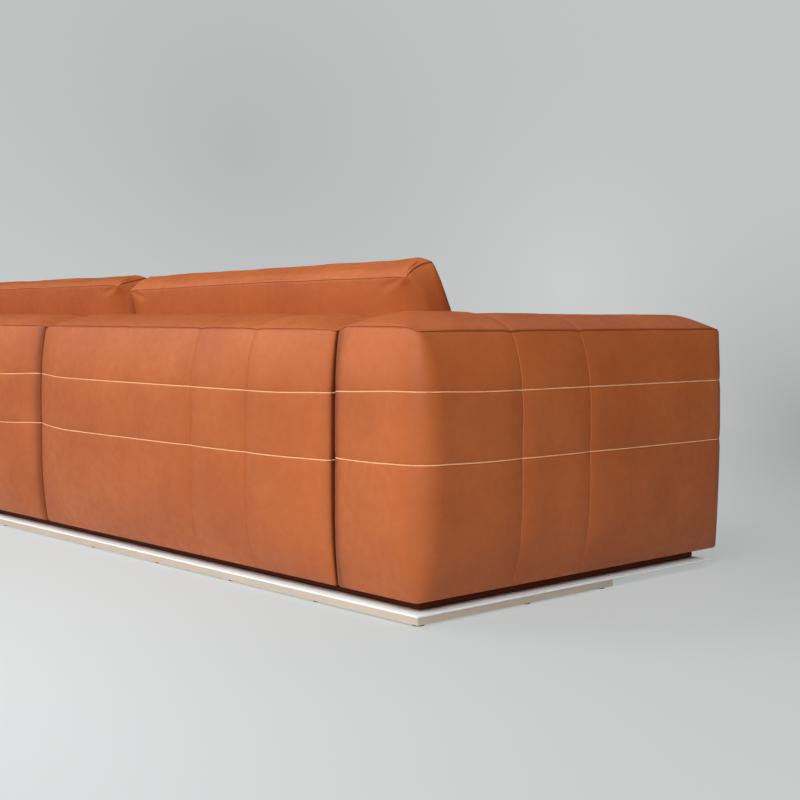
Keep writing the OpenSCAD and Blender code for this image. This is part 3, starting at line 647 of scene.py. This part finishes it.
class Padded:
    """A block or cushion whose top is domed and whose walls swell between rounded corners.

    Marks are the places of the ends and channel seams along each side.
    Values for each face are listed as low x, high x, low y and high y. Those for each corner
    are the low y and high y corner at low x, and then the two at high x.
    The reaches are how far in from each face the dome becomes full.
    """

    # At the corners: how much rounder the full wall is, what share of its swell the wall
    # keeps, and how far the seam drops
    growth = ((0, 0), (0, 0))
    holds = ((1, 1), (1, 1))
    drops = ((0, 0), (0, 0))
    drop_reach = 0.042
    # At the low and high x end: whether it faces a groove, and how dark the painted shade on the
    # faces beside it is
    grooves = (0, 0)
    end_shades = (0, 0)
    # Channels: puffs of the faces, rises of the crown and dips of the seam
    puffs = (0, 0, 0, 0)
    lifts = (0,)
    dips = (0, 0)
    # How much higher the seam runs along low y and high y, and how far the sides are drawn in
    seam_lifts = (0, 0)
    inset = 0
    threads = ()
    thread_lifts = ()
    dents = ()
    foot_r = 0
    pinch = 0.0036
    pinch_width = 0.0012
    lip = 0.0014
    wave = 0.0007
    fold = 0.0014
    pucker = 0.0004
    looseness = (1, 1, 1, 1)
    seed = 0
    warp = None

    def __init__(self, **values):
        for name, value in values.items():
            setattr(self, name, value)
        self.low_x, self.high_x = self.x_marks[0], self.x_marks[-1]
        self.low_y, self.high_y = self.y_marks[0], self.y_marks[-1]

    def before_middle(self, x, y):
        """Whether a place is in the low half along x and along y."""
        return x < (self.low_x + self.high_x) / 2, y < (self.low_y + self.high_y) / 2

    def corner(self, x, y, values):
        """The value of the corner that a place is nearest to."""
        low_half_x, low_half_y = self.before_middle(x, y)
        i = np.where(low_half_x, 0, 1)
        j = np.where(low_half_y, 0, 1)
        return np.asarray(values, float)[i, j]

    def edges(self, x, y):
        """Distances to the nearest end along x and along y."""
        return (
            np.minimum(x - self.low_x, self.high_x - x),
            np.minimum(y - self.low_y, self.high_y - y),
        )

    def bows(self, x, y):
        """How far the x faces and the y faces are drawn in: 1 midway between two corners."""
        return bow(y, self.low_y, self.high_y), bow(x, self.low_x, self.high_x)

    def rounded(self, x, y, full=0):
        """The outward direction at a place, and the place on the rounded plan.

        The corners are rounder where the wall is full.
        """
        r = self.corner(x, y, self.radii) + full * self.corner(x, y, self.growth)
        cx = np.clip(x, self.low_x + r, self.high_x - r)
        cy = np.clip(y, self.low_y + r, self.high_y - r)
        dx, dy = x - cx, y - cy
        length = np.hypot(dx, dy)
        safe = np.where(length > 0, length, 1)
        stretch = np.maximum(np.abs(dx), np.abs(dy)) / safe
        return dx / safe, dy / safe, cx + dx * stretch, cy + dy * stretch

    def bend(self, points):
        return self.warp(points) if self.warp else points

    def uneven(self, x, y, z, waves, turn):
        """Noise at a place, with its waves per metre across and down."""
        across, down = waves
        return ripple(across * x, across * y, down * z, self.seed + turn)

    def seam_z(self, x, y):
        """The height of the top seam, and of the top without its dome."""
        edge_x, edge_y = self.edges(x, y)
        fall_x = np.clip(1 - edge_x / self.drop_reach, 0, 1) ** 2
        fall_y = np.clip(1 - edge_y / self.drop_reach, 0, 1) ** 2
        turned = smooth(0.5 + (edge_x - edge_y) / SEAM_REACH)
        _, low_half_y = self.before_middle(x, y)
        lift_y = np.where(low_half_y, *self.seam_lifts)
        return (
            self.z_seam
            + lift_y * turned * near(edge_y, SEAM_REACH)
            - self.dips[0] * (1 - fullness(x, self.x_marks, SEAM_DIP_REACH))
            - self.dips[1] * (1 - fullness(y, self.y_marks, SEAM_DIP_REACH))
            - self.corner(x, y, self.drops) * fall_x * fall_y
            + self.wave * self.uneven(x, y, 0, SEAM_WAVES, 0)
        )

    def section_lift(self, x, y):
        """Extra rise of the crown in each section between two channels."""
        marks, v = (self.x_marks, x) if len(self.x_marks) > 2 else (self.y_marks, y)
        if len(self.lifts) != len(marks) - 1:
            return 0
        i = np.clip(np.searchsorted(marks, v, side="right") - 1, 0, len(self.lifts) - 1)
        return np.asarray(self.lifts)[i] * fullness(v, marks, CHANNEL_REACH)

    def channel_groove(self, x, y, out_x, out_y, z):
        """The narrow valley of each channel seam, with small puckers beside it."""
        push = 0
        across, down = CHANNEL_WAVES
        for marks, v, facing, puffs in (
            (self.x_marks, x, out_y, self.puffs[2:]),
            (self.y_marks, y, out_x, self.puffs[:2]),
        ):
            sewn = np.where(facing < 0, puffs[0] > 0, puffs[1] > 0) * np.abs(facing)
            for k, mark in enumerate(marks[1:-1]):
                away = v - mark
                push = push - sewn * valley(away, CHANNEL_VALLEY)
                puckers = ripple(away * across, z * down, k, self.seed + 3)
                puckers = puckers * np.exp(-np.abs(away) / PUCKER_REACH)
                push = push + CHANNEL_PUCKER * sewn * puckers
        return push

    def held(self, x, y, out_x, out_y):
        """The share of its swell that a wall has, across x faces and across y faces."""
        table = np.asarray(self.holds, float)
        i, j = (out_x >= 0).astype(int), (out_y >= 0).astype(int)
        return (
            held_from(table[i, 0], y - self.low_y) * held_from(table[i, 1], self.high_y - y),
            held_from(table[0, j], x - self.low_x) * held_from(table[1, j], self.high_x - x),
        )

    def level(self, x, y, down):
        """The height of a place on the wall, at its nominal distance below the seam."""
        z = self.z_seam - down + (self.seam_z(x, y) - self.z_seam) * np.exp(-down / SEAM_SHIFT)
        corners = [(cx, cy) for cx in (self.low_x, self.high_x) for cy in (self.low_y, self.high_y)]
        for height, lifts in zip(self.threads, self.thread_lifts):
            lift = 0
            for (cx, cy), value in zip(corners, np.ravel(lifts)):
                lift = lift + value * near(np.hypot(x - cx, y - cy), LIFT_REACH)
            z = z + lift * near(self.z_seam - down - height, LIFT_DEPTH)
        return z

    def wall_detail(self, x, y, out_x, out_y, z, down, up):
        """How far seams, thread lines and folds push the wall out."""
        loose_x, loose_y = of_faces(self.looseness, out_x, out_y)
        loose = out_x**2 * loose_x + out_y**2 * loose_y
        calm = belly(np.clip(down / (down + up), 0, 1))
        push = -self.pinch * np.exp(-down / self.pinch_width)
        if self.foot_r:
            rolled = np.clip(1 - up / self.foot_r, 0, 1)
            push = push - self.foot_r * (1 - np.sqrt(1 - rolled**2))
        folds = self.uneven(x, y, z, FOLD_WAVES, 0)
        creases = self.uneven(x, y, z, CREASE_WAVES, 1)
        push = push + loose * calm * self.fold * (folds + CREASE_SHARE * creases)
        puckers = self.uneven(x, y, z, PUCKER_WAVES, 2)
        edge = np.exp(-down / PUCKER_REACH) + np.exp(-up / PUCKER_REACH)
        push = push + loose * self.pucker * puckers * edge
        push = push + self.channel_groove(x, y, out_x, out_y, z)
        for height in self.threads:
            away = self.z_seam - down - height
            push = push - valley(away, THREAD_VALLEY) - valley(away, THREAD_HOLLOW)
        for from_end, place, length, width, depth in self.dents:
            along = np.minimum(x - self.low_x, self.high_x - x) - from_end
            dent = near(along, length) * near(down - place - DENT_SLANT * along, width)
            push = push - depth * dent * np.clip(out_y, 0, 1)
        return push

    def shade(self, x, y, down):
        """Painted shade: 1 deep in a seam or groove, fading over the faces beside a groove, and 0
        on an open face.
        """
        out_x, _, _, _ = self.rounded(x, y)
        edge_x, edge_y = self.edges(x, y)
        deep = smooth((edge_y - GROOVE_PAINTED_SHADE_START) / GROOVE_PAINTED_SHADE_DEPTH) * self.grooved(out_x)
        low_half_x, _ = self.before_middle(x, y)
        rounding = self.corner(x, y, self.radii) + self.corner(x, y, self.growth)
        fade = np.exp(-np.maximum(edge_x - rounding, 0) / BESIDE_PAINTED_SHADE_REACH)
        beside = np.where(low_half_x, *self.end_shades) * fade
        seam = SEAM_PAINTED_SHADE * np.exp(-down / PAINTED_SHADE_WIDTH)
        return np.maximum(np.maximum(deep, beside), seam)

    def grooved(self, out_x):
        """1 on an end wall that faces a groove."""
        return np.where(out_x < 0, *self.grooves) * (np.abs(out_x) > 0)

    def wall(self, x, y, down):
        """Points on the wall at places on the rim, at distances down from the seam."""
        height = self.z_seam - self.z_low
        full = belly(down / height)
        out_x, out_y, plan_x, plan_y = self.rounded(x, y, full)
        z = self.level(x, y, down)
        push = self.wall_detail(x, y, out_x, out_y, z, down, height - down)
        held_x, held_y = self.held(x, y, out_x, out_y)
        rounding = np.sin(np.pi * down / height)
        puff_x, puff_y = of_faces(self.puffs, out_x, out_y)
        puff_x = puff_x * rounding * fullness(y, self.y_marks, CHANNEL_REACH)
        puff_y = puff_y * rounding * fullness(x, self.x_marks, CHANNEL_REACH)
        swell_x, swell_y = of_faces(self.swells, out_x, out_y)
        bow_x, bow_y = self.bows(x, y)
        reach_x = (swell_x * full + puff_x) * held_x - self.inset * bow_x
        reach_y = (swell_y * full + puff_y) * held_y - self.inset * bow_y
        # At a groove the end wall keeps its flat face up to the corner
        _, edge_y = self.edges(x, y)
        _, low_half_y = self.before_middle(x, y)
        flat = self.grooved(out_x) * near(edge_y, GROOVE_FLAT)
        turn_y = np.where(low_half_y, -1, 1) * np.maximum(np.abs(out_y), flat)
        wall_x = plan_x + reach_x * out_x + push * out_x
        wall_y = plan_y + reach_y * turn_y + push * out_y
        return self.bend(np.stack(np.broadcast_arrays(wall_x, wall_y, z), -1))

    def top(self, x, y):
        """Points on the domed top."""
        out_x, out_y, plan_x, plan_y = self.rounded(x, y)
        edge = np.minimum(*self.edges(x, y))
        dome = np.ones_like(x)
        ends = (x - self.low_x, self.high_x - x, y - self.low_y, self.high_y - y)
        for distance, reach in zip(ends, self.reaches):
            dome = dome * np.sin(np.pi / 2 * np.clip(distance / reach, 0, 1)) ** DOME_POWER
        folds = self.uneven(x, y, 1, TOP_FOLDS, 4)
        creases = self.uneven(x, y, 1, TOP_CREASES, 0)
        z = self.seam_z(x, y) + (self.rise + self.section_lift(x, y)) * dome
        z = z + self.fold * TOP_FOLD_SHARE * (folds + TOP_CREASE_SHARE * creases) * dome
        push = -self.pinch * np.exp(-edge / self.pinch_width)
        push = push + self.lip * near(edge - LIP_PLACE, LIP_WIDTH)
        inset = self.inset * np.exp(-edge / INSET_REACH)
        bow_x, bow_y = self.bows(x, y)
        push_x, push_y = push - inset * bow_x, push - inset * bow_y
        return self.bend(np.stack((plan_x + push_x * out_x, plan_y + push_y * out_y, z), -1))

    def foot(self, x, y, inset, rise):
        """Points of the hem on the underside, in from the rim by an inset."""
        px = np.clip(x, self.low_x + inset, self.high_x - inset)
        py = np.clip(y, self.low_y + inset, self.high_y - inset)
        return self.bend(np.stack((px, py, np.full_like(px, self.z_low + rise)), -1))


def grid_over(xs, ys):
    """The places of a grid over a plan, and the numbers of its points."""
    grid_x, grid_y = np.meshgrid(xs, ys, indexing="ij")
    return grid_x, grid_y, np.arange(grid_x.size).reshape(grid_x.shape)


def rim_of(ids):
    """The rim of a grid over a plan, anticlockwise from above."""
    return np.concatenate((ids[:-1, 0], ids[-1, :-1], ids[:0:-1, -1], ids[0, :0:-1]))


def sheet_of(ids):
    """Quads of a grid over a plan, facing up."""
    return np.stack((ids[:-1, :-1], ids[1:, :-1], ids[1:, 1:], ids[:-1, 1:]), -1).reshape(-1, 4)


def strips(rings):
    """Quads between rings of point numbers, which run anticlockwise and from the top down."""
    faces = []
    for upper, lower in zip(rings, rings[1:]):
        quads = np.stack((upper, lower, np.roll(lower, -1), np.roll(upper, -1)), -1)
        faces += quads.tolist()
    return faces


def padded_mesh(form, step, hem, hem_rise):
    """Points, faces and painted shade of a closed padded form, with a hem turned in under its foot.
    """
    xs = places(form.low_x, form.high_x, step, form.x_marks)
    ys = places(form.low_y, form.high_y, step, form.y_marks)
    height = form.z_seam - form.z_low
    rows = places(0, height, step, [form.z_seam - z for z in form.threads])
    grid_x, grid_y, ids = grid_over(xs, ys)
    rim = rim_of(ids)
    rim_x, rim_y = grid_x.ravel()[rim], grid_y.ravel()[rim]
    top = form.top(grid_x, grid_y).reshape(-1, 3)
    wall = form.wall(rim_x, rim_y, rows[1:, None]).reshape(-1, 3)
    edge = np.minimum(*form.edges(grid_x, grid_y)).ravel()
    # Painted shade along the top's rim seam and on the walls
    top_painted_shade = SEAM_PAINTED_SHADE * np.exp(-edge / PAINTED_SHADE_WIDTH)
    wall_painted_shade = form.shade(rim_x, rim_y, rows[1:, None]).ravel()
    hems = [form.foot(rim_x, rim_y, inset, 0) for inset in (hem / 2, hem)]
    hems.append(form.foot(rim_x, rim_y, hem, hem_rise))
    shade = np.concatenate((top_painted_shade, wall_painted_shade, np.zeros(len(hems) * rim.size)))
    points = np.concatenate((top, wall, *hems))
    rings = [rim]
    for k in range(len(rows) - 1 + len(hems)):
        rings.append(ids.size + k * rim.size + np.arange(rim.size))
    faces = sheet_of(ids).tolist() + strips(rings)
    faces.append(rings[-1][::-1].tolist())
    return points, faces, shade


def both_sides(name, slot_name, build, material=None):
    """The right-hand and left-hand piece; build draws either one on the right."""
    made = {}
    for side in SIDES:
        points, faces, shade = build(side)
        if side == "left":
            points = points * np.array((-1, 1, 1))
            faces = [face[::-1] for face in faces]
        made[side] = make_piece(f"{name}_{side}", points, faces, slot_name, material, shade)
    return made


def plan_of(node, grow):
    """Low and high corner of a node's plan, grown by what covers it."""
    low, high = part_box(node)
    return (low.x - grow, low.y - grow), (high.x + grow, high.y + grow)


# Arms and back


def arm_form(side):
    low, high = plan_of("arm_foam_right", SKIN)
    first, second = high[1] - CHANNEL_START, high[1] - CHANNEL_START - CHANNEL_STEP
    return Padded(
        x_marks=(low[0], high[0]),
        y_marks=(low[1] - ARM_FRONT_REACH, second, first, high[1]),
        seed=SIDES[side] + SEEDS["arm"],
        **BLOCK_HEIGHTS,
        **ARM_SHAPE,
    )


def back_form(side):
    low, high = plan_of("back_foam_right", SKIN)
    start = low[0] + CHANNEL_START
    ends = (SQUARE_CORNER, ROUNDER_CORNER)
    outer, inner = ends if side == "right" else ends[::-1]
    return Padded(
        x_marks=(low[0], start, start + CHANNEL_STEP, high[0]),
        y_marks=(low[1], high[1]),
        radii=((GROOVE_R, outer[0]), (GROOVE_R, inner[0])),
        growth=((0, outer[1]), (0, inner[1])),
        drops=((CORNER_DROP, outer[2]), (CORNER_DROP, inner[2])),
        end_shades=BACK_PAINTED_SHADES[side],
        seed=SIDES[side] + SEEDS["back"],
        **BLOCK_HEIGHTS,
        **BACK_SHAPE,
    )


def evenly(low, high, step):
    return np.linspace(low, high, 1 + round((high - low) / step))


def thread_mesh(form):
    """Points and faces of the thread lines around a block, drawn in at every stitch."""
    xs = evenly(form.low_x, form.high_x, THREAD_STEP)
    ys = evenly(form.low_y, form.high_y, THREAD_STEP)
    grid_x, grid_y, ids = grid_over(xs, ys)
    rim = rim_of(ids)
    x, y = grid_x.ravel()[rim], grid_y.ravel()[rim]
    out_x, out_y, _, _ = form.rounded(x, y)
    out = np.stack((out_x, out_y, np.zeros_like(out_x)), -1)
    turns = np.linspace(0, 2 * np.pi, THREAD_SIDES, endpoint=False)
    points, faces = [], []
    for height in form.threads:
        path = form.wall(x, y, form.z_seam - height) + THREAD_PROUD_SHARE * THREAD_R * out
        along = np.roll(path, -1, 0) - np.roll(path, 1, 0)
        along = along / np.linalg.norm(along, axis=1)[:, None]
        run = np.cumsum(np.linalg.norm(np.roll(path, -1, 0) - path, axis=1))
        stitches = round(run[-1] / STITCH_LENGTH)
        swing = np.abs(np.sin(np.pi * stitches * run / run[-1])) ** STITCH_POWER
        r = THREAD_R * (STITCH_WAIST_SHARE + (1 - STITCH_WAIST_SHARE) * swing)
        side = np.cross(along, out)
        offsets = [math.cos(t) * out + math.sin(t) * side for t in turns]
        rings = np.stack([path + r[:, None] * offset for offset in offsets], 1)
        base = sum(len(p) for p in points)
        ids = base + np.arange(rings.shape[0] * THREAD_SIDES).reshape(-1, THREAD_SIDES)
        after = np.roll(ids, -1, 0)
        quads = np.stack((ids, after, np.roll(after, -1, 1), np.roll(ids, -1, 1)), -1)
        points.append(rings.reshape(-1, 3))
        faces += quads.reshape(-1, 4).tolist()
    return np.concatenate(points), faces, None


def block(form):
    return padded_mesh(form, BLOCK_STEP, BLOCK_HEM, BLOCK_HEM_RISE)


def make_blocks():
    for name, form_of in (("arm", arm_form), ("back", back_form)):
        covers = both_sides(f"{name}_block", "leather_tan", lambda side: block(form_of(side)))
        threads = both_sides(
            f"{name}_thread", "leather_tan", lambda side: thread_mesh(form_of(side)), "thread"
        )
        for side in SIDES:
            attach(covers[side], "root")
            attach(threads[side], "root")
            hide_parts(f"{name}_cover_{side}", f"{name}_foam_{side}")


make_blocks()


# Cushions


def seat_form(side):
    low, high = plan_of("seat_cushion_core_right", SEAT_WALL)
    return Padded(
        x_marks=(low[0], high[0]),
        y_marks=(low[1], high[1]),
        z_low=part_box("seat_cushion_cover_right")[0].z,
        z_seam=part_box("seat_cushion_core_right")[1].z,
        seed=SIDES[side] + SEEDS["seat"],
        **SEAT_SHAPE,
    )


def back_cushion_form(side):
    low, high = plan_of("back_cushion_fill_right", CUSHION_WALL)
    panel_low, panel_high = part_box("back_cushion_underside_right")
    z_low = panel_low.z
    rear_y = panel_high.y + CUSHION_WALL
    front_y = rear_y - CUSHION_FOOT
    front_top_y = rear_y + CUSHION_LEAN - CUSHION_TOP
    start_x = low[0] - CUSHION_OUTER_SHIFT
    end_x = high[0] + CUSHION_SHIFT[side]
    outer_lift, inner_lift = CUSHION_LIFTS[side]

    def wedge(points):
        """Bends an upright block over the foot into the wedge."""
        along = (points[..., 0] - start_x) / (end_x - start_x)
        across = (points[..., 1] - front_y) / CUSHION_FOOT
        up = (points[..., 2] - z_low) / CUSHION_HEIGHT
        foot_y = points[..., 1]
        deeper = CUSHION_TURN[side] * along**3 * (1 - across)
        top_y = front_top_y + across * CUSHION_TOP - deeper
        top_z = CUSHION_HEIGHT + CUSHION_TILT[side] * (1 - across)
        top_z = top_z + outer_lift * (1 - along) ** 2 + inner_lift * along**2
        top_z = top_z + CUSHION_END_BOW * near(along, CUSHION_BOW_SHARE) * bow(across, 0, 1)
        x = points[..., 0] - CUSHION_FLARE * (1 - across) * np.clip(1 - along, 0, 1) ** 3
        y = foot_y + up * (top_y - foot_y)
        return np.stack((x, y, z_low + up * top_z), -1)

    return Padded(
        x_marks=(start_x, end_x),
        y_marks=(front_y, rear_y),
        z_low=z_low,
        z_seam=z_low + CUSHION_HEIGHT,
        seed=SIDES[side] + SEEDS["back_cushion"],
        warp=wedge,
        **CUSHION_SHAPE,
    )


def panel_form(form, hem):
    """The fabric panel that closes the underside of a cushion."""
    inset = hem + PANEL_GAP
    return Padded(
        x_marks=(form.low_x + inset, form.high_x - inset),
        y_marks=(form.low_y + inset, form.high_y - inset),
        z_low=form.z_low + PANEL_GAP,
        z_seam=form.z_low + PANEL_TOP,
        seed=form.seed,
        warp=form.warp,
        **PANEL_SHAPE,
    )


def panel(form, hem):
    return padded_mesh(panel_form(form, hem), PANEL_STEP, PANEL_HEM, PANEL_HEM_RISE)


def make_cushions():
    for name, form_of, hem, fill, inside in (
        ("seat_cushion", seat_form, SEAT_WALL, 0.8, "core"),
        ("back_cushion", back_cushion_form, CUSHION_WALL, 0.65, "fill"),
    ):
        covers = both_sides(
            name,
            "leather_tan",
            lambda side: padded_mesh(form_of(side), CUSHION_STEP, hem, COVER_HEM_RISE),
        )
        panels = both_sides(f"{name}_panel", "lining", lambda side: panel(form_of(side), hem))
        for side in SIDES:
            body = f"{name}_{side}"
            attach(covers[side], body)
            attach(panels[side], body)
            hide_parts(f"{name}_cover_{side}", f"{name}_{inside}_{side}")
            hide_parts(f"{name}_underside_{side}")


make_cushions()


# Seat base


def front_section(low, high):
    """Depths and heights along the border's face, its rounded top edge and the platform."""
    face_z = places(low.z, high.z - BORDER_R, BORDER_STEP)
    swell = BORDER_SWELL * belly((face_z - low.z) / (high.z - low.z))
    face_y = low.y - swell + valley(face_z - low.z, BORDER_HEM)
    turns = np.linspace(0, np.pi / 2, BORDER_TURNS)[1:]
    arc_y = low.y + BORDER_R - BORDER_R * np.cos(turns)
    arc_z = high.z - BORDER_R + BORDER_R * np.sin(turns)
    deck_y = places(low.y + BORDER_R, high.y, DECK_STEP)[1:]
    y = np.concatenate((face_y, arc_y, deck_y))
    z = np.concatenate((face_z, arc_z, np.full_like(deck_y, high.z)))
    return y, z


def make_seat_base():
    low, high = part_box("seat_base_cover")
    y, z = front_section(low, high)
    xs = places(low.x, high.x, PLATFORM_STEP, (0.0,))
    grid_x, grid_y, ids = grid_over(xs, y)
    grid_z = np.broadcast_to(z, grid_x.shape)
    share = np.clip((grid_z - low.z) / (high.z - low.z), 0, 1)
    folds = BORDER_FOLD * ripple_over(grid_x, grid_z, *BORDER_NOISE) * belly(share)
    on_front = grid_y < low.y + BORDER_R
    grid_y = grid_y + (valley(grid_x, CENTRE_SEAM) + folds) * on_front
    deck_seam = valley(y - (low.y + BORDER_R + DECK_SEAM_PLACE), DECK_SEAM)
    grid_z = grid_z - deck_seam * (z > high.z - DECK_FLATNESS)
    points = np.stack((grid_x, grid_y, grid_z), -1).reshape(-1, 3)
    faces = sheet_of(ids).tolist()
    # The cover turns under the platform at its rear, and runs down behind the border
    border_y = low.y + BORDER_DEPTH
    under_z = high.z - DECK_THICKNESS
    loops = [ids[:, -1]]
    for turn_y, turn_z in ((high.y, under_z), (border_y, under_z), (border_y, low.z)):
        loops.append(len(points) + np.arange(len(xs)))
        line = np.stack((xs, np.full_like(xs, turn_y), np.full_like(xs, turn_z)), -1)
        points = np.concatenate((points, line))
    loops.append(ids[:, 0])
    for a, b in zip(loops, loops[1:]):
        faces += np.stack((a[:-1], a[1:], b[1:], b[:-1]), -1).tolist()
    ends = [[*ids[k].tolist(), *[int(loop[k]) for loop in loops[1:-1]]] for k in (0, -1)]
    faces += [ends[0][::-1], ends[1]]
    base = make_piece("seat_base", points, faces, "leather_tan")
    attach(base, "root")
    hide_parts("seat_base_cover", "seat_base_foam")


make_seat_base()


# Dust cover


def make_dust_cover():
    low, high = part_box("dust_cover")
    xs = places(low.x, high.x, DUST_STEPS[0], fine=DUST_FINE_STEPS[0])
    ys = places(low.y, high.y, DUST_STEPS[1], fine=DUST_FINE_STEPS[1])
    grid_x, grid_y, ids = grid_over(xs, ys)
    bow_y = bow(grid_y, low.y, high.y)
    sag = DUST_SAG * bow(grid_x, low.x, high.x) * bow_y
    sag = sag + DUST_RIPPLE * ripple_over(grid_x, grid_y, *DUST_NOISE) * bow_y
    layers = []
    for z in (high.z, low.z):
        layers.append(np.stack((grid_x, grid_y, z - sag), -1).reshape(-1, 3))
    quads = sheet_of(ids)
    rim = rim_of(ids)
    faces = quads.tolist() + (quads[:, ::-1] + ids.size).tolist() + strips([rim, rim + ids.size])
    sheet = make_piece("dust_sheet", np.concatenate(layers), faces, "dust_fabric")
    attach(sheet, "root")
    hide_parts("dust_cover")


make_dust_cover()


# Rigid CAD nodes keep their shape, with slightly broken edges and the finished materials

FINISHES = {
    "stainless": ("base_plate", "base_rail"),
    "plinth_wood": ("plinth",),
    "glide_plastic": ("glides",),
    "zinc_steel": ("base_screws", "connector"),
    "hardwood": ("seat_frame",),
    "plywood": ("arm_frame", "back_frame"),
    "webbing": ("webbing",),
}
BROKEN_EDGES = ("stainless", "plinth_wood")


def break_edges(node):
    weld = node.modifiers.new("weld", "WELD")
    weld.merge_threshold = WELD_DISTANCE
    bevel = node.modifiers.new("bevel", "BEVEL")
    bevel.width = BEVEL_WIDTH
    bevel.segments = 2
    bevel.limit_method = "ANGLE"
    bevel.angle_limit = BEVEL_ANGLE


def finish_nodes():
    for material, starts in FINISHES.items():
        for name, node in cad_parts.items():
            if not name.startswith(starts):
                continue
            node.data.materials.clear()
            node.data.materials.append(MATERIALS[material])
            if material in BROKEN_EDGES:
                break_edges(node)


finish_nodes()


# Floor, world and lamps

BACKGROUND = (0.53, 0.55, 0.545)
# Painted light and shade on the backdrop: place across and up in the view, its spread and tone
BACKDROP_PAINTED_LIGHT_AND_SHADE = (
    (0.12, 0.085, 0.16, (0.6, 0.62, 0.615)),
    (-0.12, 0.18, 0.3, (0.45, 0.47, 0.465)),
    (-0.3, -0.2, 0.5, (0.74, 0.76, 0.76)),
    (0.3, -0.02, 0.17, (0.36, 0.375, 0.37)),
    (0.19, -0.085, 0.12, (0.57, 0.58, 0.575)),
)
FLOOR = (0.72, 0.76, 0.76)
FLOOR_PATCHES = (0.5, 0.5, 0.5)
FLOOR_PATCH_SHARE = 0.06
FLOOR_REACH = 40
# Share of the floor's own glow at distances from the sofa, which thins its shadow
NEAR_GLOW = (0.08, 0.6, 0.0, 0.7)
FAR_GLOW = (0.6, 4.0, 0.7, 1.0)
# Light from the front and from the rear, and where along Y it goes from one to the other
WORLD_LIGHT = (0.07, 0.26)
WORLD_SPAN = (-0.6, 0.8)
# Lamps: where each stands, where it aims, its size and its power
LAMPS = {
    "key": ((-3.0, 3.1, 3.0), (-0.9, 0.3, 0.4), 2.8, 158),
    "left_key": ((3.0, 3.4, 3.0), (0, 0.4, 0.4), 2.4, 84),
    "top_key": ((0.3, 1.5, 2.8), (-0.4, 0.4, 0.6), 1.6, 22),
    "front_fill": ((-0.6, -3.0, 4.6), (0, 0, 0.3), 2.6, 18),
}


def seen_directly(nodes):
    """1 for rays from the camera or through a glass, and 0 for light on the object."""
    path = nodes.add("ShaderNodeLightPath")
    seen = (path.outputs["Is Camera Ray"], path.outputs["Is Transmission Ray"])
    return nodes.math("MAXIMUM", *seen)


def backdrop_tone(nodes, direction):
    """The studio's backdrop seen in a direction, with painted light and shade on it."""
    tone = BACKGROUND
    eye = scene.camera.matrix_world
    for across, up, spread, other in BACKDROP_PAINTED_LIGHT_AND_SHADE:
        aim = (eye.to_3x3() @ Vector((across, up, -1))).normalized()
        share = nodes.fit(nodes.vector("DISTANCE", direction, aim, "Value"), spread, 0)
        tone = nodes.mix(nodes.math("MULTIPLY", share, share), tone, other)
    return tone


def paint_floor(nodes):
    """A pale floor that goes over into the backdrop away from the sofa."""
    aside = nodes.vector("ABSOLUTE", nodes.place())
    aside = nodes.vector("SUBTRACT", aside, cad_bounds[1])
    distance = nodes.vector("LENGTH", nodes.vector("MAXIMUM", aside), output="Value")
    near_share = nodes.fit(distance, *NEAR_GLOW)
    glow_share = nodes.math("MAXIMUM", near_share, nodes.fit(distance, *FAR_GLOW))
    fade = nodes.math("MULTIPLY", glow_share, seen_directly(nodes))
    patches = nodes.math("MULTIPLY", nodes.noise(nodes.place(), 1.3, 3), FLOOR_PATCH_SHARE)
    inputs = {"Base Color": nodes.mix(patches, FLOOR, FLOOR_PATCHES), "Roughness": 0.7}
    near_floor = nodes.add("ShaderNodeBsdfPrincipled", inputs=inputs)
    offset = nodes.vector("SUBTRACT", nodes.place(), scene.camera.matrix_world.translation)
    tone = backdrop_tone(nodes, nodes.vector("NORMALIZE", offset))
    glow = nodes.add("ShaderNodeEmission", inputs={"Color": tone, "Strength": 1})
    return nodes.mix_shaders(fade, near_floor.outputs["BSDF"], glow.outputs["Emission"])


def make_floor():
    corners = [(x, y, 0) for x, y in ((-1, -1), (1, -1), (1, 1), (-1, 1))]
    mesh = bpy.data.meshes.new("floor")
    mesh.from_pydata([Vector(c) * FLOOR_REACH for c in corners], [], [(0, 1, 2, 3)])
    floor = add_object("floor", mesh)
    made = bpy.data.materials.new("floor")
    nodes = Nodes(made)
    nodes.add("ShaderNodeOutputMaterial", inputs={"Surface": paint_floor(nodes)})
    mesh.materials.append(made)


def make_world():
    """Soft light on the object, and the backdrop where the camera sees past it."""
    world = bpy.data.worlds.new("studio")
    scene.world = world
    nodes = Nodes(world)
    direction = nodes.add("ShaderNodeTexCoord").outputs["Generated"]
    toward = nodes.add("ShaderNodeSeparateXYZ", inputs={"Vector": direction}).outputs["Y"]
    strength = nodes.fit(toward, *WORLD_SPAN, *WORLD_LIGHT)
    inputs = {"Color": (1, 1, 1), "Strength": strength}
    lighting = nodes.add("ShaderNodeBackground", inputs=inputs)
    inputs = {"Color": backdrop_tone(nodes, direction), "Strength": 1}
    backdrop = nodes.add("ShaderNodeBackground", inputs=inputs)
    blend = nodes.mix_shaders(seen_directly(nodes), lighting.outputs[0], backdrop.outputs[0])
    nodes.add("ShaderNodeOutputWorld", inputs={"Surface": blend})


def area_light(name, place, target, size, power):
    data = bpy.data.lights.new(name, "AREA")
    data.shape = "SQUARE"
    data.size = size
    data.energy = power
    lamp = add_object(name, data)
    lamp.location = place
    aim = Vector(target) - Vector(place)
    lamp.rotation_euler = aim.to_track_quat("-Z", "Y").to_euler()


make_floor()
make_world()
for lamp_name, lamp_values in LAMPS.items():
    area_light(lamp_name, *lamp_values)

scene.view_settings.view_transform = "Standard"
